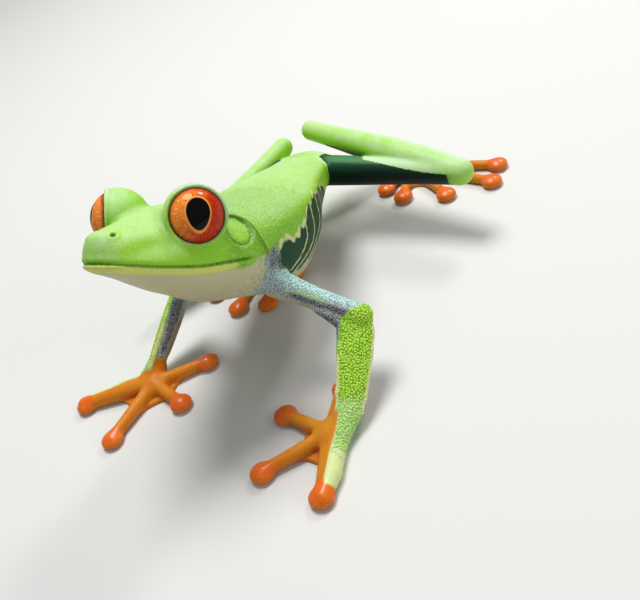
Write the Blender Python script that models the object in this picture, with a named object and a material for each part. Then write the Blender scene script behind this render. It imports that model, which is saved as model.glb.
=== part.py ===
"""A red-eyed tree frog at life size, standing on all fours with its head raised.

The body is modelled whole, from lofted head and trunk, tapered limbs, digits, discs and webs, which are
made one and then parted by thin cuts at the joints, so that each part that a person would name is its
own solid. Lengths are in millimetres until the last step. +Z is up, the frog faces -Y, and its own left
is +X. The origin is on the floor, under the middle of the frog's box.
"""

import math

import bmesh
import bpy
from mathutils import Matrix, Vector

MM = 0.001
GAP = 0.3  # width of every cut between two parts
BOX_MIDDLE = (0.5, -0.34)  # of the pose below, which is moved to the origin in the last step

# Joints of the pose.
HEAD_CENTRE = (-2.7, -14.5, 28.6)  # midway between the two eyes
HEAD_TURN = math.radians(-10.4)  # the head looks a little to the frog's right
HEAD_RAISE = math.radians(33.0)
HEAD_TILT = math.radians(-0.8)  # its left side is held a little higher
NECK = (-0.4, -9.7, 20.1)
SACRUM = (0.0, 23.0, 10.5)
VENT = (0.0, 27.6, 8.0)
ARMS = {
    "L": {"shoulder": (5.8, -9.9, 13.1), "elbow": (16.2, -12.2, 8.5), "wrist": (15.3, -22.4, 2.4)},
    "R": {"shoulder": (-5.8, -9.9, 14.3), "elbow": (-13.0, -4.7, 9.4), "wrist": (-17.6, -13.0, 2.2)},
}
LEGS = {
    "L": {
        "hip": (3.6, 20.8, 9.9),
        "knee": (26.1, 14.6, 9.9),
        "heel": (-0.1, 29.5, 12.6),
        "foot": (13.6, 32.0, 1.5),
    },
    "R": {
        "hip": (-3.6, 20.8, 10.2),
        "knee": (-20.3, 3.8, 6.2),
        "heel": (-5.9, 28.8, 10.7),
        "foot": (-6.6, 13.2, 1.5),
    },
}
PALMS = {"L": (12.9, -24.8, 1.1), "R": (-16.9, -15.3, 1.1)}
# Tips of the digits, where they rest on the floor, from the innermost digit outwards.
FINGER_TIPS = {
    "L": ((12.8, -17.3), (5.8, -21.4), (5.3, -30.2), (13.9, -33.4)),
    "R": ((-9.8, -11.1), (-11.1, -18.8), (-19.6, -24.9), (-27.4, -18.6)),
}
TOE_TIPS = {
    "L": ((10.1, 27.0), (13.5, 24.0), (20.8, 23.0), (27.9, 24.9), (28.4, 29.5)),
    "R": ((-2.4, 11.2), (-1.2, 7.0), (-3.8, 0.5), (-8.8, 0.1), (-14.1, 4.0)),
}

# The head, in its own frame: x to its left, y backwards, z up, from midway between the eyes.
# Each station is (y, half width at the mouth, top, bottom, squareness of the upper half).
HEAD_STATIONS = (
    (-9.3, 1.3, -2.3, -4.8, 2.4),
    (-9.0, 2.3, -1.4, -5.2, 2.4),
    (-8.2, 3.2, -0.9, -5.6, 2.4),
    (-6.6, 4.2, -0.5, -6.1, 2.1),
    (-4.3, 5.4, 0.1, -6.9, 1.8),
    (-1.8, 6.6, 0.9, -8.0, 1.7),
    (1.0, 7.4, 1.3, -9.2, 1.8),
    (4.0, 8.0, 1.4, -10.2, 2.0),
    (7.0, 8.2, 1.1, -10.9, 2.2),
    (10.0, 7.8, 0.5, -11.0, 2.2),
)
MOUTH_HEIGHT = -4.4  # of the mouth line at the tip of the snout
MOUTH_FALL = 0.05  # of the mouth line for each millimetre backwards
JAW_SQUARENESS = 2.2
NECK_CUT = 7.9  # the head ends this far behind the eyes
EYE_CENTRE = (5.9, 0.8, -0.1)  # of the left eyeball; the right one mirrors it
EYE_RADIUS = 3.5
EYE_FORWARD = math.radians(44.0)  # turn of the eye's axis from sideways towards the front
SOCKET_RADIUS = 3.6
LID_RADIUS = 3.8
LID_EDGE = 1.55  # the lids end this far out along the eye's axis
LID_FLARE = 1.2  # the opening in front of the eye widens by this much for each millimetre outwards

# The trunk, along the line from the neck through the sacrum: (distance, half width, rise, fall).
TRUNK_STATIONS = (
    (-4.0, 5.8, 3.2, 5.5),
    (0.0, 7.4, 4.4, 7.3),
    (5.0, 8.5, 3.8, 9.6),
    (10.0, 9.1, 3.5, 10.3),
    (16.0, 8.6, 3.2, 9.1),
    (22.0, 6.9, 2.8, 6.3),
    (28.0, 5.8, 2.1, 4.5),
    (33.0, 4.6, 1.6, 3.5),
    (37.0, 3.2, 1.4, 2.5),
    (39.4, 1.4, 0.9, 1.2),
)
BACK_SQUARENESS = 1.95
BELLY_SQUARENESS = 3.0

# Radii of each limb at even steps from its root to its end.
UPPER_ARM_RADII = (1.9, 1.6, 1.4, 1.42, 1.6)
FOREARM_RADII = (1.6, 1.95, 1.95, 1.8, 1.5)
FOREARM_DEPTH = (0.5, 0.9)  # shares of the radius on its green face and on its inner side
THIGH_RADII = (2.4, 2.25, 2.05, 1.9, 1.9)
SHANK_RADII = (1.8, 2.3, 2.25, 1.9, 1.65)
TARSUS_RADII = (1.2, 1.05, 0.95, 0.95, 1.05)
CARPUS_RADII = (1.45, 1.3)
FINGER_RADIUS = 0.95
TOE_RADIUS = 0.85
DIGIT_SINK = 0.12  # how far the underside of a digit would go below the floor, which flattens it
DISC_RADIUS = 1.6
DISC_HALF_HEIGHT = 0.85
FRINGE_WIDTH = {"L": 1.2, "R": 0.7}  # of the skin along the outer edge of each hand, past the palm
WRIST_SINK = 0.5  # of the hand's root, away from the green face of the forearm
FRINGE_END = 0.4  # and past the outer finger's tip
FRINGE_RADII = (1.4, 1.35, 1.15, 0.9)
PALM_RADIUS = 2.2
PALM_HALF_HEIGHT = 1.2
WEB_TOP = 0.85
WEB_BOTTOM = -0.2  # below the floor, at which all undersides are cut flat
FINGER_WEB_REACH = 0.6  # share of each digit that the web follows
TOE_WEB_REACH = 0.72
WEB_NOTCH = 0.4  # how far the web's edge keeps from the palm, as a share of the digits

# Directions in which the green face of each forearm looks.
FOREARM_FACE = {"L": Vector((0.43, -0.49, 0.76)), "R": Vector((-0.83, 0.0, 0.55))}

# The cuts between parts. A plate's reach is how far it goes from the middle of the joint.
HIP_CUT = 7.2  # the trunk ends this far out beside the hips
HIP_REACH = 3.1
SHOULDER_CUT = 4.7  # and this far down the upper arm
SHOULDER_REACH = 4.4
SHOULDER_SLOPE = -0.75  # of the shoulder plate's normal, downwards for each millimetre outwards
NECK_REACH = (12.0, 9.5)  # sideways and upwards
NECK_HEIGHT = -4.0  # of the neck plate's middle, in the head's frame
FOOT_CUT = 2.9  # the foot begins this far up the tarsus
FOOT_REACH = 2.0
BEND_REACH = {"elbow": (2.6, 3.4), "wrist": (2.8, 2.8), "knee": (3.0, 19.0), "heel": (2.2, 6.5)}
FORWARDS = Vector((0.05, -1.0, 0.3))  # along one side of a square plate, never along its normal
RING_POINTS = 28
VOXEL = 0.34  # grain of the mesh in which the shapes are made one
SMOOTHING_STEPS = 3
BODY_TRIANGLES = 5000


def head_frame():
    raised = Matrix.Rotation(-HEAD_RAISE, 4, "X") @ Matrix.Rotation(HEAD_TILT, 4, "Y")
    return Matrix.Translation(HEAD_CENTRE) @ Matrix.Rotation(HEAD_TURN, 4, "Z") @ raised


def eye_axis(side):
    return Vector((side * math.cos(EYE_FORWARD), -math.sin(EYE_FORWARD), 0.06)).normalized()


def eye_centre(side):
    return Vector((side * EYE_CENTRE[0], EYE_CENTRE[1], EYE_CENTRE[2]))


def section(centre, across, upwards, half_width, above, below):
    """A closed ring of points. Above and below the centre it has its own (height, squareness)."""
    points = []
    for step in range(RING_POINTS):
        angle = 2.0 * math.pi * step / RING_POINTS
        x, z = math.cos(angle), math.sin(angle)
        height, squareness = above if z > 0.0 else below
        x = math.copysign(abs(x) ** (2.0 / squareness), x) * half_width
        z = math.copysign(abs(z) ** (2.0 / squareness), z) * height
        points.append(centre + across * x + upwards * z)
    return points


def add_loft(body, rings):
    """Adds a closed form through the rings, with a flat face at each end."""
    loops = [[body.verts.new(point) for point in ring] for ring in rings]
    for first, second in zip(loops, loops[1:]):
        for k in range(RING_POINTS):
            following = (k + 1) % RING_POINTS
            body.faces.new((first[k], first[following], second[following], second[k]))
    body.faces.new(loops[0])
    body.faces.new(loops[-1])


def add_ball(body, centre, radii, frame=None, steps=16):
    """Adds an ellipsoid with its axes along those of the frame."""
    placed = Matrix.Translation(centre) @ (frame or Matrix()) @ Matrix.Diagonal((*radii, 1.0))
    bmesh.ops.create_uvsphere(body, u_segments=steps, v_segments=steps // 2 + 2, radius=1.0, matrix=placed)


def add_limb(body, points, radii):
    """Adds a round limb through the points: a bevelled curve with a radius at each point and round ends."""
    curve = bpy.data.curves.new("limb", "CURVE")
    curve.dimensions = "3D"
    curve.bevel_depth = 1.0
    curve.bevel_resolution = 4
    curve.use_fill_caps = True
    spline = curve.splines.new("POLY")
    spline.points.add(len(points) - 1)
    for knot, point, radius in zip(spline.points, points, radii):
        knot.co = (*point, 1.0)
        knot.radius = radius
    holder = bpy.data.objects.new("limb", curve)
    mesh = bpy.data.meshes.new_from_object(holder)
    body.from_mesh(mesh)
    bpy.data.objects.remove(holder)
    bpy.data.meshes.remove(mesh)
    bpy.data.curves.remove(curve)
    for point, radius in ((points[0], radii[0]), (points[-1], radii[-1])):
        add_ball(body, point, (radius, radius, radius))


def flatten(bm, start, end, face, depth):
    """Flattens a straight limb on the side that faces one way and, less so, on the other side."""
    along = (end - start).normalized()
    face = (face - along * face.dot(along)).normalized()
    for vert in bm.verts:
        out = (vert.co - start).dot(face)
        vert.co += face * out * (depth[0 if out > 0.0 else 1] - 1.0)


def join_into(body, bm):
    """Adds everything in bm to the body, and frees bm."""
    mesh = bpy.data.meshes.new("joined")
    bm.to_mesh(mesh)
    bm.free()
    body.from_mesh(mesh)
    bpy.data.meshes.remove(mesh)


def straight(start, end, count):
    return [Vector(start).lerp(Vector(end), k / (count - 1)) for k in range(count)]


def add_head(body):
    frame = head_frame()
    rings = []
    for y, half_width, top, bottom, squareness in HEAD_STATIONS:
        mouth = MOUTH_HEIGHT - MOUTH_FALL * (y - HEAD_STATIONS[0][0])
        above, below = (top - mouth, squareness), (mouth - bottom, JAW_SQUARENESS)
        ring = section(Vector((0, y, mouth)), Vector((1, 0, 0)), Vector((0, 0, 1)), half_width, above, below)
        rings.append([frame @ point for point in ring])
    add_loft(body, rings)


def add_lids(body):
    """Adds a ball over each eye, cut off where the lids open."""
    frame = head_frame()
    for side in (1, -1):
        lid = bmesh.new()
        add_ball(lid, eye_centre(side), (LID_RADIUS,) * 3, steps=32)
        edge = eye_centre(side) + eye_axis(side) * LID_EDGE
        everything = lid.verts[:] + lid.edges[:] + lid.faces[:]
        bmesh.ops.bisect_plane(lid, geom=everything, plane_co=edge, plane_no=eye_axis(side), clear_outer=True)
        bmesh.ops.holes_fill(lid, edges=lid.edges)
        bmesh.ops.transform(lid, matrix=frame, verts=lid.verts)
        join_into(body, lid)


def add_trunk(body):
    start, sacrum, vent = Vector(NECK), Vector(SACRUM), Vector(VENT)
    straight_length = (sacrum - start).length
    across = Vector((1, 0, 0))
    rings = []
    for distance, half_width, rise, fall in TRUNK_STATIONS:
        along = (sacrum - start).normalized()
        centre = start + along * distance
        if distance > straight_length:
            along = (vent - sacrum).normalized()
            centre = sacrum + along * (distance - straight_length)
        above, below = (rise, BACK_SQUARENESS), (fall, BELLY_SQUARENESS)
        rings.append(section(centre, across, across.cross(along), half_width, above, below))
    add_loft(body, rings)


def digit_path(root, tip, radius):
    """From the palm to the digit's tip, level with the floor once it has left the palm."""
    height = radius - DIGIT_SINK
    end = Vector((*tip, height))
    return [Vector(root), Vector((*Vector(root).lerp(end, 0.3).xy, height + 0.2)), end]


def add_web(body, root, tips, reach):
    """Adds thin flat skin between each two neighbouring digits, with a hollow outer edge."""
    centre = Vector(root).xy
    for first, second in zip(tips, tips[1:]):
        starts = [centre.lerp(Vector(tip), reach) for tip in (first, second)]
        hollow = centre.lerp((Vector(first) + Vector(second)) / 2.0, WEB_NOTCH)
        edge = []
        for step in range(7):
            t = step / 6.0
            edge.append(starts[0] * (1 - t) ** 2 + hollow * 2 * t * (1 - t) + starts[1] * t**2)
        outline = [centre] + edge
        lower = [body.verts.new((*point, WEB_BOTTOM)) for point in outline]
        upper = [body.verts.new((*point, WEB_TOP)) for point in outline]
        count = len(outline)
        for k in range(count):
            following = (k + 1) % count
            body.faces.new((lower[k], lower[following], upper[following], upper[k]))
        for k in range(1, count - 1):
            body.faces.new((lower[0], lower[k + 1], lower[k]))
            body.faces.new((upper[0], upper[k], upper[k + 1]))


def add_digits(body, root, tips, radius, reach):
    add_ball(body, root, (PALM_RADIUS, PALM_RADIUS, PALM_HALF_HEIGHT))
    for tip in tips:
        path = digit_path(root, tip, radius)
        add_limb(body, path, (radius * 1.15, radius * 1.05, radius * 0.9))
        disc = Vector((*tip, DISC_HALF_HEIGHT - DIGIT_SINK))
        add_ball(body, disc, (DISC_RADIUS, DISC_RADIUS, DISC_HALF_HEIGHT))
    add_web(body, root, tips, reach)


def add_arm(body, side):
    arm = ARMS[side]
    count = len(UPPER_ARM_RADII)
    add_limb(body, straight(arm["shoulder"], arm["elbow"], count), UPPER_ARM_RADII)
    forearm = bmesh.new()
    add_limb(forearm, straight(arm["elbow"], arm["wrist"], count), FOREARM_RADII)
    flatten(forearm, Vector(arm["elbow"]), Vector(arm["wrist"]), FOREARM_FACE[side], FOREARM_DEPTH)
    join_into(body, forearm)
    wrist = Vector(arm["wrist"]) - FOREARM_FACE[side].normalized() * WRIST_SINK
    add_limb(body, (wrist, PALMS[side]), CARPUS_RADII)
    add_digits(body, PALMS[side], FINGER_TIPS[side], FINGER_RADIUS, FINGER_WEB_REACH)
    # The fold of skin along the outer edge, from the wrist to the outer finger.
    palm, tip = Vector(PALMS[side]), Vector((*FINGER_TIPS[side][3], FINGER_RADIUS))
    outwards = (palm - Vector((*FINGER_TIPS[side][1], palm.z))).normalized()
    near, far = (palm.lerp(tip, share) + outwards * FRINGE_WIDTH[side] for share in (0.1, 0.6))
    add_limb(body, (wrist, near, far, tip + outwards * FRINGE_END), FRINGE_RADII)


def add_leg(body, side):
    leg = LEGS[side]
    count = len(THIGH_RADII)
    add_limb(body, straight(leg["hip"], leg["knee"], count), THIGH_RADII)
    add_limb(body, straight(leg["knee"], leg["heel"], count), SHANK_RADII)
    add_limb(body, straight(leg["heel"], leg["foot"], count), TARSUS_RADII)
    add_digits(body, (*leg["foot"][:2], 1.0), TOE_TIPS[side], TOE_RADIUS, TOE_WEB_REACH)


def new_object(name, bm):
    mesh = bpy.data.meshes.new(name)
    bmesh.ops.recalc_face_normals(bm, faces=bm.faces)
    bm.to_mesh(mesh)
    bm.free()
    obj = bpy.data.objects.new(name, mesh)
    bpy.context.collection.objects.link(obj)
    return obj


def evaluated_mesh(obj):
    bpy.context.view_layer.update()
    return bpy.data.meshes.new_from_object(obj.evaluated_get(bpy.context.evaluated_depsgraph_get()))


def apply_modifiers(obj):
    mesh = evaluated_mesh(obj)
    obj.modifiers.clear()
    old = obj.data
    obj.data = mesh
    bpy.data.meshes.remove(old)


def make_body():
    """Everything but the eyes, as one closed mesh."""
    body = bmesh.new()
    add_head(body)
    add_lids(body)
    add_trunk(body)
    for side in ("L", "R"):
        add_arm(body, side)
        add_leg(body, side)
    obj = new_object("body", body)
    remesh = obj.modifiers.new("one surface", "REMESH")
    remesh.mode = "VOXEL"
    remesh.voxel_size = VOXEL
    smooth = obj.modifiers.new("soft joints", "SMOOTH")
    smooth.factor = 0.5
    smooth.iterations = SMOOTHING_STEPS
    apply_modifiers(obj)
    decimate = obj.modifiers.new("fewer faces", "DECIMATE")
    decimate.ratio = BODY_TRIANGLES / (2.0 * len(obj.data.polygons))
    apply_modifiers(obj)
    return obj


def add_plate(cutters, centre, normal, inwards, half_across, outer, inner):
    """Adds a thin plate across a joint: it spans half_across to each side and reaches inner along inwards."""
    normal = normal.normalized()
    inwards = (inwards - normal * inwards.dot(normal)).normalized()
    sideways = normal.cross(inwards)
    frame = Matrix((inwards, sideways, normal)).transposed().to_4x4()
    middle = centre + inwards * (inner - outer) / 2.0
    size = Matrix.Diagonal((inner + outer, 2.0 * half_across, GAP, 1.0))
    bmesh.ops.create_cube(cutters, size=1.0, matrix=Matrix.Translation(middle) @ frame @ size)


def joint_plate(cutters, before, joint, after, reach):
    """Adds the plate that halves the bend at a joint, reaching inner on the inside of the bend."""
    joint = Vector(joint)
    one_way = (Vector(before) - joint).normalized()
    other_way = (Vector(after) - joint).normalized()
    outer, inner = reach
    add_plate(cutters, joint, other_way - one_way, one_way + other_way, outer, outer, inner)


def limb_plate(cutters, root, end, distance, normal, radius):
    """Adds a square plate that crosses a limb at a distance from its root."""
    centre = Vector(root) + (Vector(end) - Vector(root)).normalized() * distance
    add_plate(cutters, centre, Vector(normal), FORWARDS, radius, radius, radius)


def make_cutters():
    cutters = bmesh.new()
    frame = head_frame()
    head_back = frame.to_3x3() @ Vector((0, 1, 0))
    head_up = frame.to_3x3() @ Vector((0, 0, 1))
    neck_middle = frame @ Vector((0, NECK_CUT, NECK_HEIGHT))
    sideways, upwards = NECK_REACH
    add_plate(cutters, neck_middle, head_back, head_up, sideways, upwards, upwards)
    for side, out in (("L", 1), ("R", -1)):
        arm, leg = ARMS[side], LEGS[side]
        outwards = (out, 0, SHOULDER_SLOPE)
        limb_plate(cutters, arm["shoulder"], arm["elbow"], SHOULDER_CUT, outwards, SHOULDER_REACH)
        joint_plate(cutters, arm["shoulder"], arm["elbow"], arm["wrist"], BEND_REACH["elbow"])
        joint_plate(cutters, arm["elbow"], arm["wrist"], PALMS[side], BEND_REACH["wrist"])
        thigh = Vector(leg["knee"]) - Vector(leg["hip"])
        hip_cut = (HIP_CUT - abs(leg["hip"][0])) * thigh.length / abs(thigh.x)
        limb_plate(cutters, leg["hip"], leg["knee"], hip_cut, (out, 0, 0), HIP_REACH)
        joint_plate(cutters, leg["hip"], leg["knee"], leg["heel"], BEND_REACH["knee"])
        joint_plate(cutters, leg["knee"], leg["heel"], leg["foot"], BEND_REACH["heel"])
        tarsus = Vector(leg["foot"]) - Vector(leg["heel"])
        limb_plate(cutters, leg["heel"], leg["foot"], tarsus.length - FOOT_CUT, tarsus, FOOT_REACH)
    return new_object("cutters", cutters)


def cut(obj, cutter):
    boolean = obj.modifiers.new("cut", "BOOLEAN")
    boolean.operation = "DIFFERENCE"
    boolean.solver = "EXACT"
    boolean.object = cutter
    apply_modifiers(obj)
    bpy.data.objects.remove(cutter)


def make_sockets():
    sockets = bmesh.new()
    for side in (1, -1):
        add_ball(sockets, head_frame() @ eye_centre(side), (SOCKET_RADIUS,) * 3, steps=24)
    return new_object("sockets", sockets)


def make_eye_views():
    """The cone in front of each eye that no flesh enters."""
    cones = bmesh.new()
    rim = math.sqrt(SOCKET_RADIUS**2 - LID_EDGE**2)
    depth = SOCKET_RADIUS
    for side in (1, -1):
        axis = head_frame().to_3x3() @ eye_axis(side)
        middle = head_frame() @ eye_centre(side) + axis * (LID_EDGE + depth / 2.0)
        placed = Matrix.Translation(middle) @ axis.to_track_quat("Z", "Y").to_matrix().to_4x4()
        wide = rim + LID_FLARE * depth
        cone = {"cap_ends": True, "segments": 24, "radius1": rim, "radius2": wide, "depth": depth}
        bmesh.ops.create_cone(cones, matrix=placed, **cone)
    return new_object("eye views", cones)


def make_floor():
    floor = bmesh.new()
    size = Matrix.Diagonal((200, 200, 20, 1))
    bmesh.ops.create_cube(floor, size=1.0, matrix=Matrix.Translation((0, 0, -10)) @ size)
    return new_object("floor", floor)


def loose_parts(mesh):
    """The separate closed bodies of a mesh, each as its own bmesh, largest first."""
    whole = bmesh.new()
    whole.from_mesh(mesh)
    bmesh.ops.remove_doubles(whole, verts=whole.verts, dist=1e-4)
    unseen = set(whole.verts)
    groups = []
    while unseen:
        group, edge_of_group = set(), [unseen.pop()]
        while edge_of_group:
            vert = edge_of_group.pop()
            group.add(vert)
            for edge in vert.link_edges:
                other = edge.other_vert(vert)
                if other in unseen:
                    unseen.remove(other)
                    edge_of_group.append(other)
        groups.append(group)
    parts = []
    for group in sorted(groups, key=len, reverse=True):
        part = bmesh.new()
        copies = {vert: part.verts.new(vert.co) for vert in group}
        for face in {face for vert in group for face in vert.link_faces}:
            part.faces.new([copies[vert] for vert in face.verts])
        parts.append(part)
    whole.free()
    return parts


def part_anchors():
    """A point deep inside each part, from which the part takes its name."""
    anchors = {"head": head_frame() @ Vector((0, 0, -4)), "trunk": Vector(NECK).lerp(Vector(SACRUM), 0.5)}
    for side in ("L", "R"):
        arm, leg = ARMS[side], LEGS[side]
        anchors[f"upper_arm_{side}"] = Vector(arm["shoulder"]).lerp(Vector(arm["elbow"]), 0.62)
        anchors[f"forearm_{side}"] = Vector(arm["elbow"]).lerp(Vector(arm["wrist"]), 0.5)
        anchors[f"hand_{side}"] = Vector(PALMS[side])
        anchors[f"thigh_{side}"] = Vector(leg["hip"]).lerp(Vector(leg["knee"]), 0.5)
        anchors[f"shank_{side}"] = Vector(leg["knee"]).lerp(Vector(leg["heel"]), 0.55)
        anchors[f"tarsus_{side}"] = Vector(leg["heel"]).lerp(Vector(leg["foot"]), 0.45)
        anchors[f"foot_{side}"] = Vector((*leg["foot"][:2], 1.0))
    return anchors


MATERIALS = {  # base colour, roughness
    "leaf green": ((0.27, 0.60, 0.04, 1.0), 0.38),
    "pale blue grey": ((0.42, 0.50, 0.50, 1.0), 0.42),
    "night blue": ((0.02, 0.04, 0.08, 1.0), 0.4),
    "orange": ((0.82, 0.22, 0.02, 1.0), 0.35),
    "eye red": ((0.65, 0.08, 0.01, 1.0), 0.08),
}
PART_MATERIALS = {
    "head": "leaf green",
    "trunk": "leaf green",
    "upper_arm": "pale blue grey",
    "forearm": "leaf green",
    "hand": "orange",
    "thigh": "night blue",
    "shank": "leaf green",
    "tarsus": "leaf green",
    "foot": "orange",
    "eye": "eye red",
}


def make_materials():
    made = {}
    for name, (colour, roughness) in MATERIALS.items():
        material = bpy.data.materials.new(name)
        material.use_nodes = True
        shader = material.node_tree.nodes["Principled BSDF"]
        shader.inputs["Base Color"].default_value = colour
        shader.inputs["Roughness"].default_value = roughness
        shader.inputs["Metallic"].default_value = 0.0
        material.diffuse_color = colour
        made[name] = material
    return made


def finish_part(name, bm, materials):
    """Moves a part to the origin, brings it to metres, and gives it its name, shading and material."""
    shift = Matrix.Translation((-BOX_MIDDLE[0], -BOX_MIDDLE[1], 0.0))
    bmesh.ops.transform(bm, matrix=Matrix.Scale(MM, 4) @ shift, verts=bm.verts)
    obj = new_object(name, bm)
    obj.data.shade_smooth()
    obj.data.set_sharp_from_angle(angle=math.radians(50))
    obj.data.materials.append(materials[PART_MATERIALS[name.removesuffix("_L").removesuffix("_R")]])
    return obj


def make_eyes(materials):
    for side, letter in ((1, "L"), (-1, "R")):
        eye = bmesh.new()
        add_ball(eye, head_frame() @ eye_centre(side), (EYE_RADIUS,) * 3, steps=22)
        finish_part(f"eye_{letter}", eye, materials)


def make_flesh_parts(materials):
    body = make_body()
    for cutter in (make_floor(), make_eye_views(), make_sockets(), make_cutters()):
        cut(body, cutter)
    parts = loose_parts(body.data)
    bpy.data.objects.remove(body)
    for name, anchor in part_anchors().items():
        nearest = min(parts, key=lambda part: min((vert.co - anchor).length for vert in part.verts))
        parts.remove(nearest)
        finish_part(name, nearest, materials)
    if parts:
        raise ValueError(f"{len(parts)} pieces of the body belong to no part")


def main():
    for obj in list(bpy.data.objects):
        bpy.data.objects.remove(obj)
    materials = make_materials()
    make_flesh_parts(materials)
    make_eyes(materials)


if __name__ == "__main__":
    main()
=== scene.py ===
"""The red-eyed tree frog's looks: one seamless skin, two eyes, and a plain stage.

The skin is the zero level of a smooth field, which joins, cuts and swells simple forms. Each form has the
same named sizes as the solids, in millimetres of the pose. The same forms say which part of the frog a
point of the skin belongs to, and from that come the masks that its markings are painted by, and its
painted light and shade.
"""

import math

import bpy
import numpy as np
from mathutils import Matrix, Vector


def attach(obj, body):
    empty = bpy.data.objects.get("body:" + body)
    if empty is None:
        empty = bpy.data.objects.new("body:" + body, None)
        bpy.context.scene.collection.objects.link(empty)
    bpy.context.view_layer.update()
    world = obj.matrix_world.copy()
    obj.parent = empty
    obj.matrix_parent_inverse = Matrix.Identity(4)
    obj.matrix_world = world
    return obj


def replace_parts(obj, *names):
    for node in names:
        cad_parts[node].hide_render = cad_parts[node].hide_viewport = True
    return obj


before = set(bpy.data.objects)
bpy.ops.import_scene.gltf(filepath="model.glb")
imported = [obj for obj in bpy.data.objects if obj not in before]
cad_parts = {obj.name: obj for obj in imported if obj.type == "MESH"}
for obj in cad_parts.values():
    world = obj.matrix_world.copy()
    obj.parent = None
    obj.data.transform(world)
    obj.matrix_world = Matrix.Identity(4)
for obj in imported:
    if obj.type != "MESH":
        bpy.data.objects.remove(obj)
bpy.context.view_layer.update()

bl_info = {
    "name": "Red-eyed tree frog",
    "version": (1, 0, 0),
    "blender": (4, 5, 0),
    "location": "View3D > Sidebar > Tree frog",
    "description": "Dresses the tree frog's solids in skin, eyes and granules, and sets a plain stage",
    "category": "Object",
}

MM = 0.001
BOX_MIDDLE = (0.5, -0.34)  # of the pose, which stands at the origin
SIDES = {"L": 1, "R": -1}
TINY = 1e-6

# The pose.
HEAD_CENTRE = (-2.7, -14.5, 28.6)
HEAD_TURN = math.radians(-10.4)
HEAD_RAISE = math.radians(33.0)
HEAD_TILT = math.radians(-0.8)
NECK = (-0.4, -9.7, 20.1)
SACRUM = (0.0, 23.0, 10.5)
VENT = (0.0, 27.6, 8.0)
ARMS = {
    "L": {"shoulder": (5.8, -9.9, 13.1), "elbow": (16.2, -12.2, 8.5), "wrist": (15.3, -22.4, 2.4)},
    "R": {"shoulder": (-5.8, -9.9, 14.3), "elbow": (-13.0, -4.7, 9.4), "wrist": (-17.6, -13.0, 2.2)},
}
LEGS = {
    "L": {
        "hip": (3.6, 20.8, 9.9),
        "knee": (26.1, 14.6, 9.9),
        "heel": (-0.1, 29.5, 12.6),
        "foot": (13.6, 32.0, 1.5),
    },
    "R": {
        "hip": (-3.6, 20.8, 10.2),
        "knee": (-20.3, 3.8, 6.2),
        "heel": (-5.9, 28.8, 10.7),
        "foot": (-6.6, 13.2, 1.5),
    },
}
PALMS = {"L": (12.9, -24.8, 1.1), "R": (-16.9, -15.3, 1.1)}
FINGER_TIPS = {
    "L": ((12.8, -17.3), (5.8, -21.4), (5.3, -30.2), (13.9, -33.4)),
    "R": ((-9.8, -11.1), (-11.1, -18.8), (-19.6, -24.9), (-27.4, -18.6)),
}
TOE_TIPS = {
    "L": ((10.1, 27.0), (13.5, 24.0), (20.8, 23.0), (27.9, 24.9), (28.4, 29.5)),
    "R": ((-2.4, 11.2), (-1.2, 7.0), (-3.8, 0.5), (-8.8, 0.1), (-14.1, 4.0)),
}

# The head, in its own frame: (y, half width at the mouth, top, bottom, squareness of the upper half).
HEAD_STATIONS = (
    (-9.3, 1.3, -2.3, -4.8, 2.4),
    (-9.0, 2.3, -1.4, -5.2, 2.4),
    (-8.2, 3.2, -0.9, -5.6, 2.4),
    (-6.6, 4.2, -0.5, -6.1, 2.1),
    (-4.3, 5.4, 0.1, -6.9, 1.8),
    (-1.8, 6.6, 0.9, -8.0, 1.7),
    (1.0, 7.4, 1.3, -9.2, 1.8),
    (4.0, 8.0, 1.4, -10.2, 2.0),
    (7.0, 8.2, 1.1, -10.9, 2.2),
    (10.0, 7.8, 0.5, -11.0, 2.2),
)
MOUTH_HEIGHT = -4.4
MOUTH_FALL = 0.05
JAW_SQUARENESS = 2.2
EYE_CENTRE = (5.9, 0.8, -0.1)
EYE_RADIUS = 3.5
EYE_FORWARD = math.radians(44.0)
EYE_UPWARDS = 0.06
SOCKET_RADIUS = 3.54
LID_RADIUS = 3.7
LID_EDGE = 1.55
LID_FLARE = 1.2
SOCKET_FLOOR = 1.35  # along the eye's axis
LID_BACK = 0.6  # of the lids' opening, behind their edge
LID_RIM = 0.2  # radius of the rounded edge of the lids
LID_RIM_REACH = math.sqrt(SOCKET_RADIUS**2 - LID_EDGE**2)  # from the eye's axis
LID_RIM_SHIFT = (0.12, 0.18)  # of the rounded edge, back along the eye's axis and away from it
LIP_LINE = (-5.72, 1.5, 1.0, 10.3)  # of the closed lips: level at the back, rise, where it starts, length
LIP_BEND = 1.5  # power by which the lips' line rises
LIP_CORNER = 7.4
NOSTRIL = (1.75, -8.0, -1.35)
TYMPANUM = (7.5, 6.3, -2.4)
TYMPANUM_RADII = (1.75, 1.65)
CHEEK = (5.0, 6.0)  # from the head's middle: where the ear drum's marks begin, and where they are full
LIP_BACK = (-0.8, 0.6)  # the same for the lips' relief, ahead of their corner
# Relief across a line: (how far the skin sinks, or rises where negative, distance from the line, width).
LIP_RELIEF = ((0.34, 0.0, 0.14), (-0.10, 0.5, 0.35), (-0.16, -0.42, 0.32))
NOSTRIL_RELIEF = ((0.55, 0.0, 0.26), (-0.14, 0.5, 0.25))
DRUM_RELIEF = ((0.16, 1.0, 0.11), (-0.10, 1.25, 0.14))
DRUM_HOLLOW = (0.05, -0.9, 0.0)  # depth, then minus the drum ratios where it begins and is full
SNOUT_HOLLOW = (0.30, (-5.0, 2.6), (-3.0, 0.9))  # depth, then the (place, width) along y and z
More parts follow.
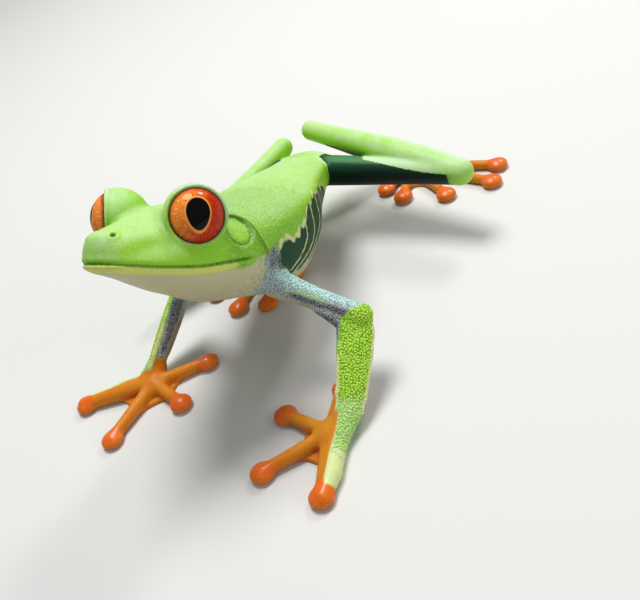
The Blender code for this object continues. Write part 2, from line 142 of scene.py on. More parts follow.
# The fold of skin from behind the eye, over the tympanum and down to the shoulder, in the pose's frame.
EAR_FOLD = (
    (4.0, -10.8, 25.0),
    (4.5, -10.0, 24.1),
    (5.3, -9.65, 23.2),
    (6.0, -9.9, 22.4),
    (6.6, -10.5, 21.1),
    (7.2, -10.6, 18.4),
)
EAR_FOLD_SIDE = (3.0, 4.5)  # from the body's middle, where it begins and is full
EAR_FOLD_RISE = 0.34
EAR_FOLD_WIDTH = 0.5
EAR_FOLD_SHADE = 0.75
EAR_FOLD_SHADE_WIDTH = 0.3

# The trunk, along the line from the neck through the sacrum: (distance, half width, rise, fall).
TRUNK_STATIONS = (
    (-4.0, 5.8, 3.2, 5.5),
    (0.0, 7.4, 4.4, 7.3),
    (5.0, 8.5, 3.8, 9.6),
    (10.0, 9.1, 3.5, 10.3),
    (16.0, 8.6, 3.2, 9.1),
    (22.0, 6.9, 2.8, 6.3),
    (28.0, 5.8, 2.1, 4.5),
    (33.0, 4.6, 1.6, 3.5),
    (37.0, 3.2, 1.4, 2.5),
    (39.4, 1.4, 0.9, 1.2),
)
BACK_SQUARENESS = 1.95
BELLY_SQUARENESS = 3.0
TRUNK_OVERLAP = (1.0, 2.0)  # of its front over its rump, and the other way

# Boxes that the largest forms act in. The head's and the face's are about the head's centre.
FRONT_BOX = ((-12.0, -14.0, 4.0), (12.0, 26.0, 27.0))
RUMP_BOX = ((-6.0, 20.0, 4.0), (6.0, 29.0, 15.0))
HEAD_BOX = ((-12.0, -13.0, -14.0), (12.0, 12.0, 6.0))
FACE_BOX = ((-14.0, -14.0, -14.0), (14.0, 14.0, 14.0))
FLOOR_BOX = ((-40.0, -45.0, -3.0), (40.0, 45.0, 0.5))
EYE_BOXES = {"socket": 5.0, "lid opening": 6.0, "lid rim": 4.2}  # half their widths
EAR_FOLD_REACH = 1.5
FORM_MARGIN = 0.9

# How softly each form meets those before it.
BLENDS = {
    "front": 0.6,
    "rump": 1.0,
    "trunk end": 1.2,
    "head": 1.6,
    "head end": 0.9,
    "brow": 1.0,
    "socket": 0.08,
    "socket floor": 0.2,
    "lid opening": 0.1,
    "lid rim": 0.25,
    "upper_arm": 1.2,
    "forearm": 0.5,
    "forearm edge": 0.35,
    "elbow fold": 1.1,
    "carpus": 0.6,
    "palm": 0.5,
    "fringe": 0.4,
    "web": 0.5,
    "web edge": 0.3,
    "digit": 0.45,
    "disc": 0.5,
    "thigh": 0.8,
    "shank": 0.3,
    "tarsus": 0.4,
    "floor": 0.12,
}
HEAD_SOFTNESS = 0.5  # lengths over which the stations are smoothed
TRUNK_SOFTNESS = 2.5
STATION_SAMPLES = 240

# Radii of each limb at even steps from its root to its end.
UPPER_ARM_RADII = (1.9, 1.6, 1.4, 1.42, 1.6)
FOREARM_RADII = (1.6, 1.95, 1.95, 1.8, 1.5)
FOREARM_DEPTH = (0.5, 0.9)  # shares of the radius on its green face and on its inner side
THIGH_RADII = (2.4, 2.25, 2.05, 1.9, 1.9)
SHANK_RADII = (1.8, 2.3, 2.25, 1.9, 1.65)
TARSUS_RADII = (1.2, 1.05, 0.95, 0.95, 1.05)
CARPUS_RADII = (1.45, 1.3)
FINGER_RADIUS = 0.95
TOE_RADIUS = 0.85
FOOT_HEIGHT = 1.0
DIGIT_SINK = 0.12
DIGIT_TAPER = (1.15, 1.0, 0.85)  # shares of a digit's radius at its root, bend and end
DIGIT_BEND = 0.3  # share of the way to the tip
DIGIT_ARCH = 0.2
DISC_RADIUS = 1.6
DISC_HALF_HEIGHT = 0.85
FRINGE_WIDTH = {"L": 1.2, "R": 0.7}
WRIST_SINK = 0.5  # of the hand's root, away from the green face of the forearm
FRINGE_END = 0.4
FRINGE_SHARES = (0.1, 0.6)  # of the way from the palm to the outer finger's tip
FRINGE_RADII = (1.4, 1.35, 1.15, 0.9)
EDGE_RADIUS = 0.3  # of the pale fold along the forearm's edges
EDGE_SCALLOP = (0.85, 0.25, 2.3)  # its least swell, how much more it swells, and how fast that changes
EDGE_SHARES = (0.12, 1.0, 12)  # where the folds begin and end along the forearm, and their knots
EDGE_SHIFT = (0.02, 0.15)  # of the folds, inwards and towards the green face
ELBOW_FOLD_RADII = (0.4, 0.5, 0.4)
ELBOW_FOLD = ((4.0, 0.0, 1.5), (0.0, 0.0, 2.6), (0.0, 5.0, 1.6))  # up the arm, down it, and inwards
PALM_RADIUS = 2.2
PALM_HALF_HEIGHT = 1.2
WEB_TOP = 0.55
FINGER_WEB_REACH = 0.6
TOE_WEB_REACH = 0.72
WEB_NOTCH = 0.4
WEB_STEPS = 9
WEB_FOOT = -0.5

# Directions in which the limbs' markings, and their painted light and shade, face. All but the forearm's are
# mirrored on the right side.
FOREARM_FACE = {"L": (0.43, -0.49, 0.76), "R": (-0.83, 0.0, 0.55)}
UPPER_ARM_TOP = (0.50, 0.67, 0.54)
THIGH_TOP = (0.0, 0.35, 1.0)
SHANK_BACK = (0.35, 0.75, 0.65)
SHANK_UNDER = (-0.3, -0.5, -0.8)
TARSUS_BACK = (0.2, 1.0, 0.3)

# The mesh of the skin.
PITCH = 0.33
FAR = 2.5
GRID_LOW = (-31.5, -37.0, -0.81)
GRID_HIGH = (31.5, 37.0, 34.5)
LONGEST_STEP = 0.3  # of a point drawn to the surface
LEAST_SLOPE = 0.05
SECTION_CORE = 0.05  # of a section's reach, inside which only its size counts
# The places whose edges are halved: (reach of the line of the lips, its back end and its lowest level),
# then (place from the eye's axis and reach) of the lids, and the reaches of the ear drums and the nostrils.
FINE_LIPS = (0.75, 8.5, -7.0)
FINE_LIDS = (3.4, 0.9)
FINE_DRUM = 2.6
FINE_NOSTRIL = 1.1


def head_frame():
    raised = Matrix.Rotation(-HEAD_RAISE, 4, "X") @ Matrix.Rotation(HEAD_TILT, 4, "Y")
    return Matrix.Translation(HEAD_CENTRE) @ Matrix.Rotation(HEAD_TURN, 4, "Z") @ raised


HEAD = np.array(head_frame())


def in_head(points):
    """Points of the pose, as seen from the head's own frame."""
    return (points - HEAD[:3, 3]) @ HEAD[:3, :3]


def out_of_head(points):
    return np.asarray(points, float) @ HEAD[:3, :3].T + HEAD[:3, 3]


def unit(vector):
    vector = np.asarray(vector, float)
    return vector / np.linalg.norm(vector)


def eye_axis(side):
    return unit((side * math.cos(EYE_FORWARD), -math.sin(EYE_FORWARD), EYE_UPWARDS))


def eye_centre(side):
    return np.array((side * EYE_CENTRE[0], EYE_CENTRE[1], EYE_CENTRE[2]))


# ---------------------------------------------------------------- the field


def rounded_least(a, b, blend):
    near = np.maximum(blend - np.abs(a - b), 0.0) / blend
    return np.minimum(a, b) - near * near * blend * 0.25


def rounded_most(a, b, blend):
    return -rounded_least(-a, -b, blend)


def hump(distance, width):
    return np.exp(-((distance / width) ** 2))


def humped(value, height, place, width):
    """As high as height where the value is at its place, and down to 0 at both sides of it."""
    return height * hump(value - place, width)


def ramp(value, low, high):
    """0 below low, 1 above high, and a smooth rise between them."""
    t = np.clip((value - low) / (high - low), 0.0, 1.0)
    return t * t * (3.0 - 2.0 * t)


def stepped(value, height, low, high):
    """0 below low, and height above high."""
    return height * ramp(value, low, high)


def between(value, begins, ends):
    """0, then 1 after the first pair of values, and 0 again after the second pair."""
    return ramp(value, *begins) * (1.0 - ramp(value, *ends))


class Form:
    """A shape in the field: how far points are from it, the box it acts in, and what it does there."""

    def __init__(self, measure, low, high, blend, how="join"):
        self.measure = measure
        self.blend = blend
        self.how = how
        margin = blend + FORM_MARGIN
        self.low = np.asarray(low, float) - margin
        self.high = np.asarray(high, float) + margin

    def act(self, value, points):
        measured = self.measure(points)
        if self.how == "join":
            return rounded_least(value, measured, self.blend)
        if self.how == "cut":
            return rounded_most(value, -measured, self.blend)
        return value + measured


def field_at(forms, points):
    value = np.full(len(points), FAR)
    for form in forms:
        near = np.flatnonzero(np.all((points > form.low) & (points < form.high), axis=1))
        if len(near):
            value[near] = form.act(value[near], points[near])
    return value


def field_on_grid(forms, axes):
    value = np.full([len(axis) for axis in axes], FAR, dtype=np.float32)
    for form in forms:
        spans = []
        for axis, low, high in zip(axes, form.low, form.high):
            spans.append(slice(*np.searchsorted(axis, (low, high))))
        block = value[tuple(spans)]
        if block.size == 0:
            continue
        grid = np.meshgrid(*[axis[span] for axis, span in zip(axes, spans)], indexing="ij")
        points = np.stack(grid, axis=-1).reshape(-1, 3)
        value[tuple(spans)] = form.act(block.reshape(-1), points).reshape(block.shape)
    return value


def gradient_at(forms, points, step=0.02):
    slopes = []
    for axis in np.eye(3) * step:
        slopes.append((field_at(forms, points + axis) - field_at(forms, points - axis)) / (2.0 * step))
    return np.stack(slopes, axis=1)


# ---------------------------------------------------------------- simple forms


def across(direction, along):
    """A direction turned to be across another, of length 1."""
    direction = np.asarray(direction, float)
    return unit(direction - along * (direction @ along))


def radius_curve(radii):
    """The smooth curve through radii at even steps from 0 to 1."""
    return np.polyfit(np.linspace(0.0, 1.0, len(radii)), radii, len(radii) - 1)


def limb_place(points, start, end):
    """(share of the way along, offset from the axis) of each point on a straight limb."""
    start, end = np.asarray(start, float), np.asarray(end, float)
    along = end - start
    share = np.clip((points - start) @ along / (along @ along), 0.0, 1.0)
    return share, points - start - share[:, None] * along


def limb(start, end, radii, blend, face=None, depth=(1.0, 1.0)):
    """A straight limb whose radius follows a smooth curve through the given radii. Across the direction
    of face it is flatter: depth gives its shares of the radius on that side and on the other.
    """
    curve = radius_curve(radii)
    face = np.zeros(3) if face is None else across(face, unit(np.subtract(end, start)))

    def measure(points):
        out = (points - start) @ face
        points = points + face * (out * (1.0 / np.where(out > 0.0, *depth) - 1.0))[:, None]
        share, offset = limb_place(points, start, end)
        return np.linalg.norm(offset, axis=1) - np.polyval(curve, share)

    reach = max(radii)
    ends = np.array((start, end), float)
    return Form(measure, ends.min(0) - reach, ends.max(0) + reach, blend)


def chain_distance(points, knots, radii):
    least = np.full(len(points), np.inf)
    for start, end, first, second in zip(knots, knots[1:], radii, radii[1:]):
        share, offset = limb_place(points, start, end)
        least = np.minimum(least, np.linalg.norm(offset, axis=1) - first - (second - first) * share)
    return least


def line_distance(points, knots):
    return chain_distance(points, knots, (0.0,) * len(knots))


def chain(knots, radii, blend, how="join"):
    """A round form through several points."""
    knots = [np.asarray(knot, float) for knot in knots]
    reach = max(radii)
    low, high = np.min(knots, axis=0) - reach, np.max(knots, axis=0) + reach
    return Form(lambda points: chain_distance(points, knots, radii), low, high, blend, how)


def ball(centre, radii, blend, how="join"):
    centre, radii = np.asarray(centre, float), np.asarray(radii, float)

    def measure(points):
        scaled = (points - centre) / radii
        first = np.linalg.norm(scaled, axis=1)
        second = np.linalg.norm(scaled / radii, axis=1)
        return first * (first - 1.0) / np.maximum(second, TINY)

    return Form(measure, centre - radii, centre + radii, blend, how)


def profile(stations, column, at, softness):
    """A station value at each distance, smoothed so that no edge shows at a station."""
    table = np.array(stations)
    fine = np.linspace(table[0, 0], table[-1, 0], STATION_SAMPLES)
    values = np.interp(fine, table[:, 0], table[:, column])
    half = max(int(softness / (fine[1] - fine[0])), 1)
    kernel = np.hanning(2 * half + 3)[1:-1]
    padded = np.concatenate([np.full(half, values[0]), values, np.full(half, values[-1])])
    smooth = np.convolve(padded, kernel / kernel.sum(), mode="valid")
    return np.interp(at, fine, smooth)


def section_distance(x, z, half_width, height, squareness):
    """How far points are from a superellipse about the origin, measured along the ray from it."""
    ratio = (np.abs(x / half_width) ** squareness + np.abs(z / height) ** squareness) ** (1.0 / squareness)
    reach = np.hypot(x, z)
    outwards = reach * (1.0 - 1.0 / np.maximum(ratio, SECTION_CORE))
    return np.where(ratio > SECTION_CORE, outwards, -np.minimum(half_width, height))


def head_measure(points):
    x, y, z = in_head(points).T
    first, last = HEAD_STATIONS[0][0], HEAD_STATIONS[-1][0]
    at = np.clip(y, first, last)
    values = [profile(HEAD_STATIONS, column, at, HEAD_SOFTNESS) for column in (1, 2, 3, 4)]
    half_width, top, bottom, squareness = values
    mouth = MOUTH_HEIGHT - MOUTH_FALL * (at - first)
    above = z > mouth
    height = np.where(above, top - mouth, mouth - bottom)
    sides = section_distance(x, z - mouth, half_width, height, np.where(above, squareness, JAW_SQUARENESS))
    return rounded_most(sides, np.maximum(first - y, y - last), BLENDS["head end"])


def trunk_measure(start, end, first, last, offset):
    """Measures one straight length of the trunk, from the distance first to last along it."""
    start, end = np.asarray(start, float), np.asarray(end, float)
    along = unit(end - start)
    upwards = np.cross((1.0, 0.0, 0.0), along)

    def measure(points):
        local = points - start
        distance = local @ along + offset
        at = np.clip(distance, first, last)
        half_width, rise, fall = [profile(TRUNK_STATIONS, column, at, TRUNK_SOFTNESS) for column in (1, 2, 3)]
        z = local @ upwards
        height = np.where(z > 0.0, rise, fall)
        squareness = np.where(z > 0.0, BACK_SQUARENESS, BELLY_SQUARENESS)
        sides = section_distance(local[:, 0], z, half_width, height, squareness)
        return rounded_most(sides, np.maximum(first - distance, distance - last), BLENDS["trunk end"])

    return measure


def eye_place(points, side):
    """(distance along the eye's axis, distance from the axis) of each point."""
    local = in_head(points) - eye_centre(side)
    ahead = local @ eye_axis(side)
    return ahead, np.linalg.norm(local - ahead[:, None] * eye_axis(side), axis=1)


def socket_measure(ahead, away):
    """The hollow for the eyeball. It is only as deep as can be seen, so the lids stay thick behind it."""
    return rounded_most(np.hypot(ahead, away) - SOCKET_RADIUS, SOCKET_FLOOR - ahead, BLENDS["socket floor"])


def lid_opening_measure(ahead, away):
    cone = (away - LID_RIM_REACH - LID_FLARE * (ahead - LID_EDGE)) / math.hypot(1.0, LID_FLARE)
    return np.maximum(cone, LID_EDGE - LID_BACK - ahead)


def lid_rim_measure(ahead, away):
    back, out = LID_RIM_SHIFT
    return np.hypot(ahead - LID_EDGE + back, away - (LID_RIM_REACH + out)) - LID_RIM


def eye_form(side, name, measure, how="join"):
    """A form round an eye, measured from the distances along the eye's axis and from it."""
    centre = out_of_head(eye_centre(side))
    low, high = centre - EYE_BOXES[name], centre + EYE_BOXES[name]
    return Form(lambda points: measure(*eye_place(points, side)), low, high, BLENDS[name], how)


def lip_height(y):
    level, rise, start, length = LIP_LINE
    return level + rise * (np.maximum(start - y, 0.0) / length) ** LIP_BEND


def drum_ratio(y, z):
    """1 on the ring of the ear drum, and less inside it."""
    return np.hypot((y - TYMPANUM[1]) / TYMPANUM_RADII[0], (z - TYMPANUM[2]) / TYMPANUM_RADII[1])


def nostril_distance(x, y, z):
    return np.sqrt((np.abs(x) - NOSTRIL[0]) ** 2 + (y - NOSTRIL[1]) ** 2 + (z - NOSTRIL[2]) ** 2)


def face_relief(points):
    """The closed lips, nostrils, cheeks and ear drums: how far the skin sinks, or rises where negative."""
    x, y, z = in_head(points).T
    above = z - lip_height(y)
    along = ramp(-y, *(end - LIP_CORNER for end in LIP_BACK))
    relief = along * sum(humped(above, *row) for row in LIP_RELIEF)
    side = np.abs(x)
    relief += sum(humped(nostril_distance(x, y, z), *row) for row in NOSTRIL_RELIEF)
    drum = drum_ratio(y, z)
    ring = sum(humped(drum, *row) for row in DRUM_RELIEF) + stepped(-drum, *DRUM_HOLLOW)
    relief += ramp(side, *CHEEK) * ring
    # The hollow between the ridge from eye to nostril and the upper lip.
    depth, (ahead, length), (level, height) = SNOUT_HOLLOW
    relief += depth * hump(z - level, height) * hump(y - ahead, length) * ramp(side, 2.0, 4.0)
    return relief


def ear_fold_at(points, width):
    """1 along the ear fold as the left side shows it, down to 0 at this width from it."""
    seen = np.array((0.0, 1.0, 1.0))
    knots = [knot * seen for knot in EAR_FOLD]
    return hump(line_distance(points * seen, knots), width) * ramp(points[:, 0], *EAR_FOLD_SIDE)


def ear_fold_relief(points):
    return -EAR_FOLD_RISE * ear_fold_at(points, EAR_FOLD_WIDTH)


def digit_path(root, tip, radius):
    root = np.asarray(root, float)
    height = radius - DIGIT_SINK
    end = np.array((*tip, height))
    bend = root + (end - root) * DIGIT_BEND
    return [root, np.array((bend[0], bend[1], height + DIGIT_ARCH)), end]


def polygon_distance(points, outline):
    """Signed distance in plan from a closed outline, below 0 inside it."""
    least = np.full(len(points), np.inf)
    inside = np.zeros(len(points), bool)
    for start, end in zip(outline, np.roll(outline, -1, axis=0)):
        along = end - start
        least = np.minimum(least, np.linalg.norm(limb_place(points, start, end)[1], axis=1))
        spans = (start[1] > points[:, 1]) != (end[1] > points[:, 1])
        rise = TINY if abs(along[1]) < TINY else along[1]
        crossing = start[0] + (points[:, 1] - start[1]) * along[0] / rise
        inside ^= spans & (points[:, 0] < crossing)
    return np.where(inside, -least, least)


def web_outline(root, first, second, reach):
    centre = np.asarray(root, float)[:2]
    tips = [np.asarray(tip, float) for tip in (first, second)]
    starts = [centre + (tip - centre) * reach for tip in tips]
    hollow = centre + ((tips[0] + tips[1]) / 2.0 - centre) * WEB_NOTCH
    edge = []
    for t in np.linspace(0.0, 1.0, WEB_STEPS):
        edge.append(starts[0] * (1 - t) ** 2 + hollow * 2 * t * (1 - t) + starts[1] * t**2)
    return np.array([centre] + edge)


def web(root, first, second, reach):
    outline = web_outline(root, first, second, reach)

    def measure(points):
        flat = polygon_distance(points[:, :2], outline)
        return rounded_most(flat, points[:, 2] - WEB_TOP, BLENDS["web edge"])

    low, high = outline.min(0), outline.max(0)
    return Form(measure, (*low, WEB_FOOT), (*high, WEB_TOP), BLENDS["web"])


def hand_forms(root, tips, radius, reach):
    forms = [ball(root, (PALM_RADIUS, PALM_RADIUS, PALM_HALF_HEIGHT), BLENDS["palm"])]
    for first, second in zip(tips, tips[1:]):
        forms.append(web(root, first, second, reach))
    for tip in tips:
        radii = [radius * share for share in DIGIT_TAPER]
        forms.append(chain(digit_path(root, tip, radius), radii, BLENDS["digit"]))
        disc = (*tip, DISC_HALF_HEIGHT - DIGIT_SINK)
        forms.append(ball(disc, (DISC_RADIUS, DISC_RADIUS, DISC_HALF_HEIGHT), BLENDS["disc"]))
    return forms


def arm_joints(side):
    return [np.array(ARMS[side][joint]) for joint in ("shoulder", "elbow", "wrist")]


def hand_root(side):
    return arm_joints(side)[2] - unit(FOREARM_FACE[side]) * WRIST_SINK


def hand_outwards(side):
    """From the inner fingers towards the hand's outer edge."""
    palm = np.array(PALMS[side])
    return unit(palm - np.array((*FINGER_TIPS[side][1], palm[2])))


def outer_edge(side):
    """From the wrist to the outer finger's tip, along the hand's outer edge."""
    palm = np.array(PALMS[side])
    tip = np.array((*FINGER_TIPS[side][3], FINGER_RADIUS))
    outwards = hand_outwards(side)
    fringe = [palm + (tip - palm) * share + outwards * FRINGE_WIDTH[side] for share in FRINGE_SHARES]
    return [hand_root(side), *fringe, tip + outwards * FRINGE_END]


def forearm_edges(side):
    """The two lines along the forearm where its green outer face ends."""
    _, elbow, wrist = arm_joints(side)
    along = unit(wrist - elbow)
    face = across(FOREARM_FACE[side], along)
    sideways = np.cross(face, along)
    curve = radius_curve(FOREARM_RADII)
    inwards, raised = EDGE_SHIFT
    lines = []
    for turn in (1.0, -1.0):
        line = []
        for share in np.linspace(*EDGE_SHARES):
            out = np.polyval(curve, share) - inwards
            line.append(elbow + (wrist - elbow) * share + sideways * turn * out + face * raised)
        lines.append(line)
    return lines


def edge_folds(side):
    """The scalloped pale folds along the forearm."""
    least, more, pace = EDGE_SCALLOP
    forms = []
    for line in forearm_edges(side):
        radii = [EDGE_RADIUS * (least + more * math.sin(pace * k)) for k in range(len(line))]
        forms.append(chain(line, radii, BLENDS["forearm edge"]))
    return forms


def elbow_fold(side):
    """The knots of the loose skin across the inner side of the bent elbow."""
    shoulder, elbow, wrist = arm_joints(side)
    up, down = unit(shoulder - elbow), unit(wrist - elbow)
    inwards = unit(up + down)
    return [elbow + above * up + below * down + within * inwards for above, below, within in ELBOW_FOLD]


def arm_forms(side):
    arm = ARMS[side]
    face = FOREARM_FACE[side]
    forearm = limb(arm["elbow"], arm["wrist"], FOREARM_RADII, BLENDS["forearm"], face, FOREARM_DEPTH)
    fold = chain(elbow_fold(side), ELBOW_FOLD_RADII, BLENDS["elbow fold"])
    carpus = chain((hand_root(side), PALMS[side]), CARPUS_RADII, BLENDS["carpus"])
    digits = hand_forms(PALMS[side], FINGER_TIPS[side], FINGER_RADIUS, FINGER_WEB_REACH)
    fringe = chain(outer_edge(side), FRINGE_RADII, BLENDS["fringe"])
    return {
        "upper_arm": [limb(arm["shoulder"], arm["elbow"], UPPER_ARM_RADII, BLENDS["upper_arm"])],
        "forearm": [forearm, *edge_folds(side), fold],
        "hand": [carpus, *digits, fringe],
    }


def leg_forms(side):
    leg = LEGS[side]
    foot = (*leg["foot"][:2], FOOT_HEIGHT)
    return {
        "thigh": [limb(leg["hip"], leg["knee"], THIGH_RADII, BLENDS["thigh"])],
        "shank": [limb(leg["knee"], leg["heel"], SHANK_RADII, BLENDS["shank"])],
        "tarsus": [limb(leg["heel"], leg["foot"], TARSUS_RADII, BLENDS["tarsus"])],
        "foot": hand_forms(foot, TOE_TIPS[side], TOE_RADIUS, TOE_WEB_REACH),
    }


def body_parts():
    """The forms of each part of the frog, under the names of the solids."""
    straight = np.linalg.norm(np.subtract(SACRUM, NECK))
    first, last = TRUNK_STATIONS[0][0], TRUNK_STATIONS[-1][0]
    over, under = TRUNK_OVERLAP
    front = Form(trunk_measure(NECK, SACRUM, first, straight + over, 0.0), *FRONT_BOX, BLENDS["front"])
    rump = Form(trunk_measure(SACRUM, VENT, straight - under, last, straight), *RUMP_BOX, BLENDS["rump"])
    head = Form(head_measure, *(np.array(HEAD_CENTRE) + HEAD_BOX), BLENDS["head"])
    parts = {"trunk": [front, rump], "head": [head]}
    for side in SIDES.values():
        parts["head"].append(ball(out_of_head(eye_centre(side)), (LID_RADIUS,) * 3, BLENDS["brow"]))
    for side in SIDES:
        for name, forms in {**arm_forms(side), **leg_forms(side)}.items():
            parts[f"{name}_{side}"] = forms
    return parts


def finishing_forms():
    """What is done to the joined body: the sockets, the lids, the relief of the face, and the floor."""
    forms = [Form(face_relief, *(np.array(HEAD_CENTRE) + FACE_BOX), 0.0, "swell")]
    low, high = np.min(EAR_FOLD, axis=0) - EAR_FOLD_REACH, np.max(EAR_FOLD, axis=0) + EAR_FOLD_REACH
    forms.append(Form(ear_fold_relief, low, high, 0.0, "swell"))
    for side in SIDES.values():
        forms.append(eye_form(side, "lid opening", lid_opening_measure, "cut"))
        forms.append(eye_form(side, "socket", socket_measure, "cut"))
        forms.append(eye_form(side, "lid rim", lid_rim_measure))
    forms.append(Form(lambda points: points[:, 2], *FLOOR_BOX, BLENDS["floor"], "cut"))
    return forms


# ---------------------------------------------------------------- the mesh of the field's zero level


def surface_net(value, axes):
    """(points, quads) of the zero level, with one point in each grid cell that it crosses."""
    corners = [(a, b, c) for a in (0, 1) for b in (0, 1) for c in (0, 1)]
    cells = [size - 1 for size in value.shape]
    inside = value < 0.0
    count = np.zeros(cells, np.int8)
    for a, b, c in corners:
        count += inside[a : a + cells[0], b : b + cells[1], c : c + cells[2]]
    crossed = (count > 0) & (count < 8)
    base = np.argwhere(crossed)
    number = np.full(cells, -1, np.int64)
    number[crossed] = np.arange(len(base))
    total, hits = np.zeros((len(base), 3)), np.zeros(len(base))
    for start in corners:
        for axis in range(3):
            if start[axis]:
                continue
            end = np.array(start)
            end[axis] = 1
            first = value[tuple((base + start).T)]
            second = value[tuple((base + end).T)]
            cross = (first < 0.0) != (second < 0.0)
            share = np.where(cross, first / np.where(cross, first - second, 1.0), 0.0)
            total[cross] += (np.array(start) + share[:, None] * (end - start))[cross]
            hits += cross
    origin = np.array([axis[0] for axis in axes])
    points = origin + (base + total / hits[:, None]) * PITCH
    quads = []
    for axis in range(3):
        u, v = (axis + 1) % 3, (axis + 2) % 3
        size = [slice(1, -1)] * 3
        size[axis] = slice(0, -1)
        after = list(size)
        after[axis] = slice(1, None)
        low, high = value[tuple(size)], value[tuple(after)]
        found = np.argwhere((low < 0.0) != (high < 0.0))
        start = found + 1
        start[:, axis] -= 1
        ring = []
        for du, dv in ((0, 0), (-1, 0), (-1, -1), (0, -1)):
            cell = start.copy()
            cell[:, u] += du
            cell[:, v] += dv
            ring.append(number[tuple(cell.T)])
        ring = np.stack(ring, axis=1)
        solid_below = low[tuple(found.T)] < 0.0
        ring[~solid_below] = ring[~solid_below][:, ::-1]
        quads.append(ring)
    return points, np.concatenate(quads)


def halve_edges(points, triangles, chosen):
    """Splits the edges whose two ends are both chosen, and the triangles on them to match."""
    ends = np.concatenate([triangles[:, [0, 1]], triangles[:, [1, 2]], triangles[:, [2, 0]]])
    edges, index = np.unique(np.sort(ends, axis=1), axis=0, return_inverse=True)
    split = chosen[edges].all(axis=1)
    middle = np.full(len(edges), -1, np.int64)
    middle[split] = len(points) + np.arange(split.sum())
    points = np.concatenate([points, points[edges[split]].mean(axis=1)])
    mids = middle[index.reshape(3, -1).T]
    cut = mids >= 0
    number = cut.sum(axis=1)
    made = [triangles[number == 0]]
    a, b, c = triangles[number == 3].T
    ab, bc, ca = mids[number == 3].T
    made += [np.stack(t, axis=1) for t in ((a, ab, ca), (ab, b, bc), (ca, bc, c), (ab, bc, ca))]
    for k in range(3):
        order = [k, (k + 1) % 3, (k + 2) % 3]
        one = (number == 1) & cut[:, k]
        a, b, c = triangles[one][:, order].T
        ab = mids[one][:, k]
        made += [np.stack((a, ab, c), axis=1), np.stack((ab, b, c), axis=1)]
        two = (number == 2) & ~cut[:, k]
        a, b, c = triangles[two][:, order].T
        bc, ca = mids[two][:, order[1]], mids[two][:, order[2]]
        made += [np.stack(t, axis=1) for t in ((a, b, bc), (a, bc, ca), (ca, bc, c))]
    return points, np.concatenate(made)


def drawn_to_surface(forms, points, rounds):
    for _ in range(rounds):
        slope = gradient_at(forms, points)
        steep = np.maximum((slope * slope).sum(axis=1), LEAST_SLOPE)
        step = (field_at(forms, points) / steep)[:, None] * slope
        length = np.linalg.norm(step, axis=1, keepdims=True)
        points = points - step * np.minimum(1.0, LONGEST_STEP / np.maximum(length, TINY))
    return points


def close_parts(points):
    """The points where the finest shapes are: the lips, the lids, the ear drums and the nostrils."""
    x, y, z = in_head(points).T
    reach, back, lowest = FINE_LIPS
    fine = (y < back) & (np.abs(z - lip_height(y)) < reach) & (z > lowest)
    place, reach = FINE_LIDS
    for side in SIDES.values():
        ahead, away = eye_place(points, side)
        fine |= np.hypot(ahead - LID_EDGE, away - place) < reach
    fine |= (np.hypot(y - TYMPANUM[1], z - TYMPANUM[2]) < FINE_DRUM) & (np.abs(x) > CHEEK[0])
    return fine | (nostril_distance(x, y, z) < FINE_NOSTRIL)


def skin_mesh(forms):
    axes = [np.arange(low, high, PITCH) for low, high in zip(GRID_LOW, GRID_HIGH)]
    value = field_on_grid(forms, axes)
    points, quads = surface_net(value, axes)
    points = drawn_to_surface(forms, points, 2)
    triangles = np.concatenate([quads[:, [0, 1, 2]], quads[:, [0, 2, 3]]])
    points, triangles = halve_edges(points, triangles, close_parts(points))
    points = drawn_to_surface(forms, points, 2)
    return points, triangles


# ---------------------------------------------------------------- markings, and painted light and shade

# A ramp's two numbers are where a marking begins and where it is full, and a hump's number is its width:
# in millimetres, or in shares of a limb's length, or in cosines of the angle round a limb.

# The masks that the material reads.
PAINTED = (
    "cream",
    "navy",
    "lilac",
    "band",
    "smear",
    "orange",
    "disc",
    "edge",
    "pale",
    "pebble",
    "dark",
    "bar",
    "lip",
)
MASKS = (*PAINTED, "wart")  # the last only says where warts grow
FLANK_TOP = -1.7  # the green of the back ends this far below the spine
FLANK_FOOT = -7.2  # and the cream of the belly begins here
FLANK_END = 31.5  # of the blue, along the trunk
FLANK_STEPS = ((1.9, 7.5, 13.0), (-3.0, 18.0, 29.0))  # of its top: how far it rises, from where, to where
FOOT_STEP = (3.4, 12.0, 30.0)
FLANK_DIP = (0.5, 6.6, 2.0)  # its depth, place and width
BARS_BELOW_SPINE = 3.0  # where they begin to run forwards
BAR_START = 9.3
BAR_SPACING = 3.1
BAR_BEND = 0.42  # how strongly the bars run forwards as they go down
SHOULDER_END = 2.2
SHOULDER_SOFTNESS = 0.9
SHOULDER_BALL = (4.6, 6.4)  # from the shoulder joint: where its pale blue begins to end, and has ended
SHOULDER_SHADE = (0.6, 0.9, 1.7)  # how dark, where along the trunk and how wide
SHOULDER_SHADE_DROP = ((0.8, 2.2), (3.8, 5.6))  # below the spine
FLANK_WAVES = ((0.30, 1.7, 0.0), (0.22, 4.1, 1.0))  # height, pace and shift of the flank's ragged top
LIP_BAND = ((0.1, 0.3), (0.8, 1.15))  # the lower lip's yellow, below the mouth
LIP_BAND_END = -3.0  # forwards from the head's centre
THROAT_TOP = (0.75, 1.25)  # where the throat's cream begins and is full, below the mouth
MOUTH_LINE = (0.6, 0.0, 0.09)  # how dark, where and how wide
MOUTH_BACK = (-0.3, 0.8)  # ahead of the lips' corner, where it begins and is full
DRUM_LINE = (1.02, 0.09)  # where and how wide
DRUM_SHADE = (0.35, 0.5)  # how dark the ring is below, and how much darker above
NOSTRIL_HOLE = (0.18, 0.36)
NOSTRIL_RIM = (0.55, 0.42, 0.14)  # how pale, where and how wide
LID_LINE = (0.1, 3.3)  # place of the lids' pale rims, back from their edge and from the eye's axis
LID_LINE_WIDTH = (0.2, 0.42)
LID_PALENESS = (0.15, 0.75)  # in front and below, and how much more behind and above
